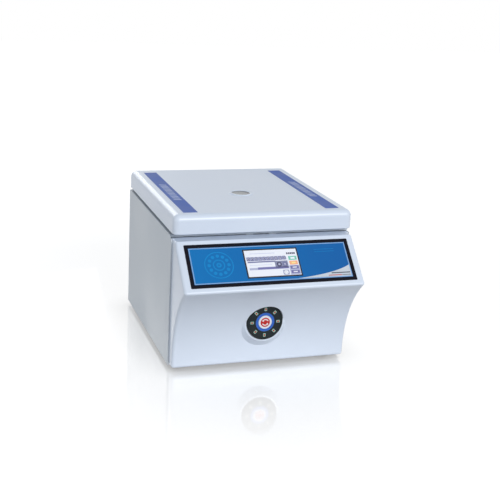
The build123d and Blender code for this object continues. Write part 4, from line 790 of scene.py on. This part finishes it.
# Rubber: feet, lid bumpers, chamber gasket, shaft boot and motor mounts, all moulded in a matt
# black rubber that holds dust.
rubber, _ = coloured_surface(
    "black_rubber",
    colour=screen_colour(38, 38, 39),
    worn=screen_colour(78, 77, 75),
    rough=(0.62, 0.78),
    cells=3000.0,
    depth=0.00008,
    wear=0.4,
    dust_and_shade=0.5,
    swing=0.12,
)
dress(rubber, "black_rubber", "feet", "lid_bumpers", "lid_gasket", "chamber_boot", "motor_mounts")


# Metals: spun stainless bowl, turned rotor, ground steel pins and zinc-plated sheet. Tool marks
# run round the rotor's axis on turned pieces, and lengthwise on the others.
low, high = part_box("chamber_bowl")
SPIN_X = (low.x + high.x) / 2
SPIN_Y = (low.y + high.y) / 2
WIDE_RINGS = 240.0
BROAD_STREAKS = 35.0
BRIGHT_EDGE = screen_colour(235, 236, 238)

turned_tree, given, result = begin_group("tool_rings", {"Rings": 2600.0}, ["Height", "Streak"])
where = add_node(turned_tree, "TexCoord").outputs["Object"]
axis = (SPIN_X, SPIN_Y, 0.0)
from_axis = add_node(turned_tree, "VectorMath", {0: where, 1: axis}, operation="SUBTRACT")
parts = add_node(turned_tree, "SeparateXYZ", {0: from_axis.outputs[0]}).outputs
square = calculate(
    turned_tree,
    "ADD",
    calculate(turned_tree, "MULTIPLY", parts["X"], parts["X"]),
    calculate(turned_tree, "MULTIPLY", parts["Y"], parts["Y"]),
)
along = calculate(turned_tree, "ADD", calculate(turned_tree, "SQRT", square), parts["Z"])
fine_rings = {"W": along, "Scale": given["Rings"], "Detail": 2.0}
wide_rings = {"W": along, "Scale": WIDE_RINGS, "Detail": 4.0}
rings = add_node(turned_tree, "TexNoise", fine_rings, noise_dimensions="1D")
wide = add_node(turned_tree, "TexNoise", wide_rings, noise_dimensions="1D")
turned_tree.links.new(rings.outputs["Fac"], result["Height"])
turned_tree.links.new(wide.outputs["Fac"], result["Streak"])

brush_marks = {"Stretch": (40.0, 2400.0, 2400.0)}
brushed_tree, given, result = begin_group("brushed", brush_marks, ["Height", "Streak"])
where = add_node(brushed_tree, "TexCoord").outputs["Object"]
stretched = add_node(brushed_tree, "VectorMath", {0: where, 1: given["Stretch"]}, operation="MULTIPLY")
lines = add_node(brushed_tree, "TexNoise", {"Vector": stretched.outputs[0], "Scale": 1.0, "Detail": 3.0})
broad = add_node(brushed_tree, "TexNoise", {"Vector": where, "Scale": BROAD_STREAKS, "Detail": 4.0})
brushed_tree.links.new(lines.outputs["Fac"], result["Height"])
brushed_tree.links.new(broad.outputs["Fac"], result["Streak"])


def metal_surface(name, dark, light, rough, depth, group, **values):
    material, tree, shader = start_material(name)
    marks = place_group(tree, group, **values)
    tone = blend_colours(tree, by_tone(tree, marks["Streak"]), dark, light)
    edge = calculate(tree, "MULTIPLY", place_group(tree, edge_tree)["Edge"], 0.4)
    bright = blend_colours(tree, edge, tone, BRIGHT_EDGE)
    # Dust and painted shade: grey laid into hollows, which darkens the pale metal there as painted
    # shade.
    dust_and_shade_bloom = calculate(tree, "MULTIPLY", place_group(tree, dust_and_shade_tree)["Dust"], 0.2)
    tree.links.new(blend_colours(tree, dust_and_shade_bloom, bright, DUST_AND_SHADE_COLOUR), shader.inputs["Base Color"])
    tree.links.new(by_tone(tree, marks["Streak"], *rough), shader.inputs["Roughness"])
    shader.inputs["Metallic"].default_value = 1.0
    soft_bump(tree, shader, marks["Height"], depth)
    return material


stainless = metal_surface(
    "stainless",
    dark=screen_colour(186, 188, 192),
    light=screen_colour(212, 214, 217),
    rough=(0.24, 0.36),
    depth=0.000012,
    group=turned_tree,
    Rings=1800.0,
)
dress(stainless, "stainless", "chamber_bowl")

rotor_alloy = metal_surface(
    "rotor_alloy",
    dark=screen_colour(168, 171, 180),
    light=screen_colour(196, 198, 206),
    rough=(0.30, 0.44),
    depth=0.000015,
    group=turned_tree,
    Rings=2600.0,
)
dress(rotor_alloy, "rotor_alloy", "rotor", "rotor_nut")

steel = metal_surface(
    "steel",
    dark=screen_colour(158, 160, 165),
    light=screen_colour(190, 192, 196),
    rough=(0.26, 0.42),
    depth=0.00001,
    group=brushed_tree,
)
dress(
    steel,
    "steel",
    "foot_screws",
    "rear_screws",
    "guard_posts",
    "motor_bearings",
    "hinge_brackets",
    "hinge_pins",
    "hinge_leaves",
    "latch_pin",
    "latch_hook",
    "lid_striker",
    "motor_shaft",
    "dial_shaft",
)

brass = metal_surface(
    "plated_brass",
    dark=screen_colour(196, 172, 110),
    light=screen_colour(222, 200, 140),
    rough=(0.22, 0.34),
    depth=0.000006,
    group=brushed_tree,
)
dress(brass, "brass", "inlet_blades", "display_posts", "control_posts")


# Zinc plate: the pan, brackets and cans are plated sheet with the pale crystal patches that
# hot zinc leaves.
zinc, tree, shader = start_material("zinc_plate")
where = add_node(tree, "TexCoord").outputs["Object"]
crystals = add_node(tree, "TexVoronoi", {"Vector": where, "Scale": 160.0, "Randomness": 1.0})
patch_tone = add_node(tree, "SeparateColor", {0: crystals.outputs["Color"]}).outputs["Red"]
grain = place_group(tree, grain_tree, Cells=1800.0, Drift=14.0)
tone = blend_colours(tree, patch_tone, screen_colour(168, 172, 178), screen_colour(198, 202, 206))
# Dust and painted shade: grey laid into hollows, which darkens the pale zinc there as painted shade.
dust_and_shade_bloom = calculate(tree, "MULTIPLY", place_group(tree, dust_and_shade_tree)["Dust"], 0.3)
tree.links.new(blend_colours(tree, dust_and_shade_bloom, tone, DUST_AND_SHADE_COLOUR), shader.inputs["Base Color"])
tree.links.new(spread(tree, patch_tone, 0.0, 1.0, 0.34, 0.52), shader.inputs["Roughness"])
shader.inputs["Metallic"].default_value = 0.9
soft_bump(tree, shader, grain["Height"], 0.00002)
dress(
    zinc,
    "zinc_sheet",
    "base_pan",
    "guard_ring",
    "motor_plate",
    "latch_bracket",
    "display_module",
    "power_supply",
)


# Motors: the drive motor's cast housing and the latch's geared motor are sprayed with a dark
# semi-matt enamel, which chips to a paler grey at the edges.
motor_paint, _ = coloured_surface(
    "motor_paint",
    colour=screen_colour(58, 61, 67),
    worn=screen_colour(128, 130, 134),
    rough=(0.40, 0.54),
    cells=1700.0,
    depth=0.00006,
    wear=0.5,
    dust_and_shade=0.35,
    swing=0.1,
)
dress(motor_paint, "motor_paint", "motor_housing", "latch_motor")


# Circuit boards: glass-fibre boards with a green solder mask over etched copper tracks, screwed
# to brass posts. The chips and capacitors on them are moulded black.
MASK_DARK = screen_colour(20, 92, 52)
MASK_LIGHT = screen_colour(28, 110, 64)
TRACK_GREEN = screen_colour(52, 138, 84)
BOARD_ROUGH = (0.30, 0.45)

board, tree, shader = start_material("board_green")
where = add_node(tree, "TexCoord").outputs["Object"]
layout = {"Vector": where, "Scale": 160.0, "Mortar Size": 0.02}
tracks = add_node(tree, "TexBrick", layout).outputs["Fac"]
grain = place_group(tree, grain_tree, Cells=1500.0, Drift=80.0)
mask = blend_colours(tree, by_tone(tree, grain["Tone"]), MASK_DARK, MASK_LIGHT)
tree.links.new(blend_colours(tree, tracks, mask, TRACK_GREEN), shader.inputs["Base Color"])
tree.links.new(by_tone(tree, grain["Tone"], *BOARD_ROUGH), shader.inputs["Roughness"])
soft_bump(tree, shader, tracks, 0.00004)
dress(board, "board_green", "display_board", "control_board")

parts_black, _ = coloured_surface(
    "parts_black",
    colour=screen_colour(34, 34, 36),
    worn=screen_colour(80, 80, 84),
    rough=(0.48, 0.62),
    cells=2600.0,
    depth=0.00004,
    wear=0.3,
    dust_and_shade=0.3,
    swing=0.12,
)
dress(parts_black, "parts_black", "control_parts")


# Rotor numbers: the twelve tube places of the alloy rotor are numbered on its top face, so that
# tubes can be told apart. The figures are pad-printed in black.
NUMBER_HEIGHT = 5.6 * MM
NUMBER_REACH = 66.0 * MM
PLACE_COUNT = 12

low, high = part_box("rotor")
number_ink = printing_ink("number_ink", screen_colour(36, 37, 40))
numbers = bmesh.new()
for index in range(PLACE_COUNT):
    figure = bpy.data.curves.new("figure", "FONT")
    figure.body = str(index + 1)
    figure.size = NUMBER_HEIGHT
    figure.align_x = "CENTER"
    figure.align_y = "CENTER"
    figure.extrude = INK_TOP / 2
    holder = bpy.data.objects.new("figure", figure)
    turn = 2 * pi * index / PLACE_COUNT
    reach = Vector((NUMBER_REACH * cos(turn), NUMBER_REACH * sin(turn), 0.0))
    place = Matrix.Translation(Vector((SPIN_X, SPIN_Y, high.z + INK_TOP / 2)) + reach)
    drawn = bpy.data.meshes.new_from_object(holder)
    drawn.transform(place @ Matrix.Rotation(turn - pi / 2, 4, "Z"))
    numbers.from_mesh(drawn)
    bpy.data.meshes.remove(drawn)
    bpy.data.objects.remove(holder)
bmesh.ops.remove_doubles(numbers, verts=numbers.verts, dist=0.001 * MM)
make_piece("rotor_numbers", numbers, "rotor", "rotor_alloy", number_ink)


# Stage: a white table top that fades into a white room, with a wide soft light in front and to
# the right, and weaker ones at the left and behind.
FLOOR_SIZE = 12.0
FLOOR_SHADE = 0.3
FLOOR_GLOW = 0.84
FLOOR_SHEEN = 0.42
FLOOR_ROUGH = 0.06
SHEEN_START = 0.16
SHEEN_END = 0.56
SHEEN_FALL = 1.4
CONTACT_REACH = 0.06
CONTACT_DARK = 0.62

floor_mesh = bmesh.new()
bmesh.ops.create_grid(floor_mesh, x_segments=1, y_segments=1, size=FLOOR_SIZE / 2)
floor_data = bpy.data.meshes.new("floor")
floor_mesh.to_mesh(floor_data)
floor_mesh.free()
floor = bpy.data.objects.new("floor", floor_data)
bpy.context.scene.collection.objects.link(floor)


def reflected_or_seen(tree):
    """One for rays that show the background itself, and none for rays that light the object."""
    ray = add_node(tree, "LightPath").outputs
    seen = calculate(tree, "MAXIMUM", ray["Is Camera Ray"], ray["Is Glossy Ray"])
    return calculate(tree, "MAXIMUM", seen, ray["Is Transmission Ray"])


floor_finish = bpy.data.materials.new("floor")
floor_finish.use_nodes = True
tree = floor_finish.node_tree
tree.nodes.clear()
matt = add_node(tree, "BsdfDiffuse", {"Color": (FLOOR_SHADE, FLOOR_SHADE, FLOOR_SHADE, 1.0)})
mirror = add_node(tree, "BsdfAnisotropic", {"Color": (0.95, 0.95, 0.95, 1.0), "Roughness": FLOOR_ROUGH})
glow = add_node(tree, "Emission", {"Color": (1.0, 1.0, 1.0, 1.0)})
where = add_node(tree, "TexCoord").outputs["Object"]
distance = add_node(tree, "VectorMath", {0: where}, operation="LENGTH").outputs["Value"]
# Painted contact shadow: the floor's white glow is dimmed where the machine's base stands close, which
# paints a soft shadow round it.
openness = add_node(tree, "AmbientOcclusion", {"Distance": CONTACT_REACH}, samples=8).outputs["AO"]
contact_shadow = spread(tree, openness, 0.2, 1.0, CONTACT_DARK, 1.0)
fading = spread(tree, distance, SHEEN_END, FLOOR_SIZE / 4, FLOOR_GLOW, 1.0)
shadow = calculate(tree, "MULTIPLY", contact_shadow, fading)
glow_share = calculate(tree, "MULTIPLY", reflected_or_seen(tree), shadow)
tree.links.new(glow_share, glow.inputs["Strength"])
lit = add_node(tree, "AddShader", {0: matt.outputs[0], 1: glow.outputs[0]})
sheen = spread(tree, distance, SHEEN_START, SHEEN_END, 1.0, 0.0)
sheen = calculate(tree, "MULTIPLY", calculate(tree, "POWER", sheen, SHEEN_FALL), FLOOR_SHEEN)
surface = add_node(tree, "MixShader", {0: sheen, 1: lit.outputs[0], 2: mirror.outputs[0]})
add_node(tree, "OutputMaterial", {"Surface": surface.outputs[0]})
floor_data.materials.append(floor_finish)

ROOM_LIGHT = 0.32
ROOM_TINT = (0.83, 0.91, 1.0, 1.0)

world = bpy.data.worlds.new("room")
bpy.context.scene.world = world
world.use_nodes = True
tree = world.node_tree
tree.nodes.clear()
ambient = add_node(tree, "Background", {"Color": ROOM_TINT, "Strength": ROOM_LIGHT})
white = add_node(tree, "Background", {"Color": (1.0, 1.0, 1.0, 1.0), "Strength": 1.0})
seen = reflected_or_seen(tree)
surface = add_node(tree, "MixShader", {0: seen, 1: ambient.outputs[0], 2: white.outputs[0]})
add_node(tree, "OutputWorld", {"Surface": surface.outputs[0]})


def soft_light(name, place, size, power, target=Vector((0.0, 0.0, 0.12))):
    lamp = bpy.data.lights.new(name, "AREA")
    lamp.shape = "RECTANGLE"
    lamp.size, lamp.size_y = size
    lamp.energy = power
    holder = bpy.data.objects.new(name, lamp)
    holder.location = place
    holder.rotation_euler = (target - Vector(place)).to_track_quat("-Z", "Y").to_euler()
    bpy.context.scene.collection.objects.link(holder)


soft_light("front_light", (0.55, -2.5, 1.5), (1.5, 1.0), 51.0)
soft_light("left_light", (-1.9, -0.1, 0.35), (1.2, 0.6), 6.5)
soft_light("back_light", (-0.5, 2.6, 1.3), (1.6, 1.0), 16.0)

bpy.context.scene.view_settings.view_transform = "Standard"
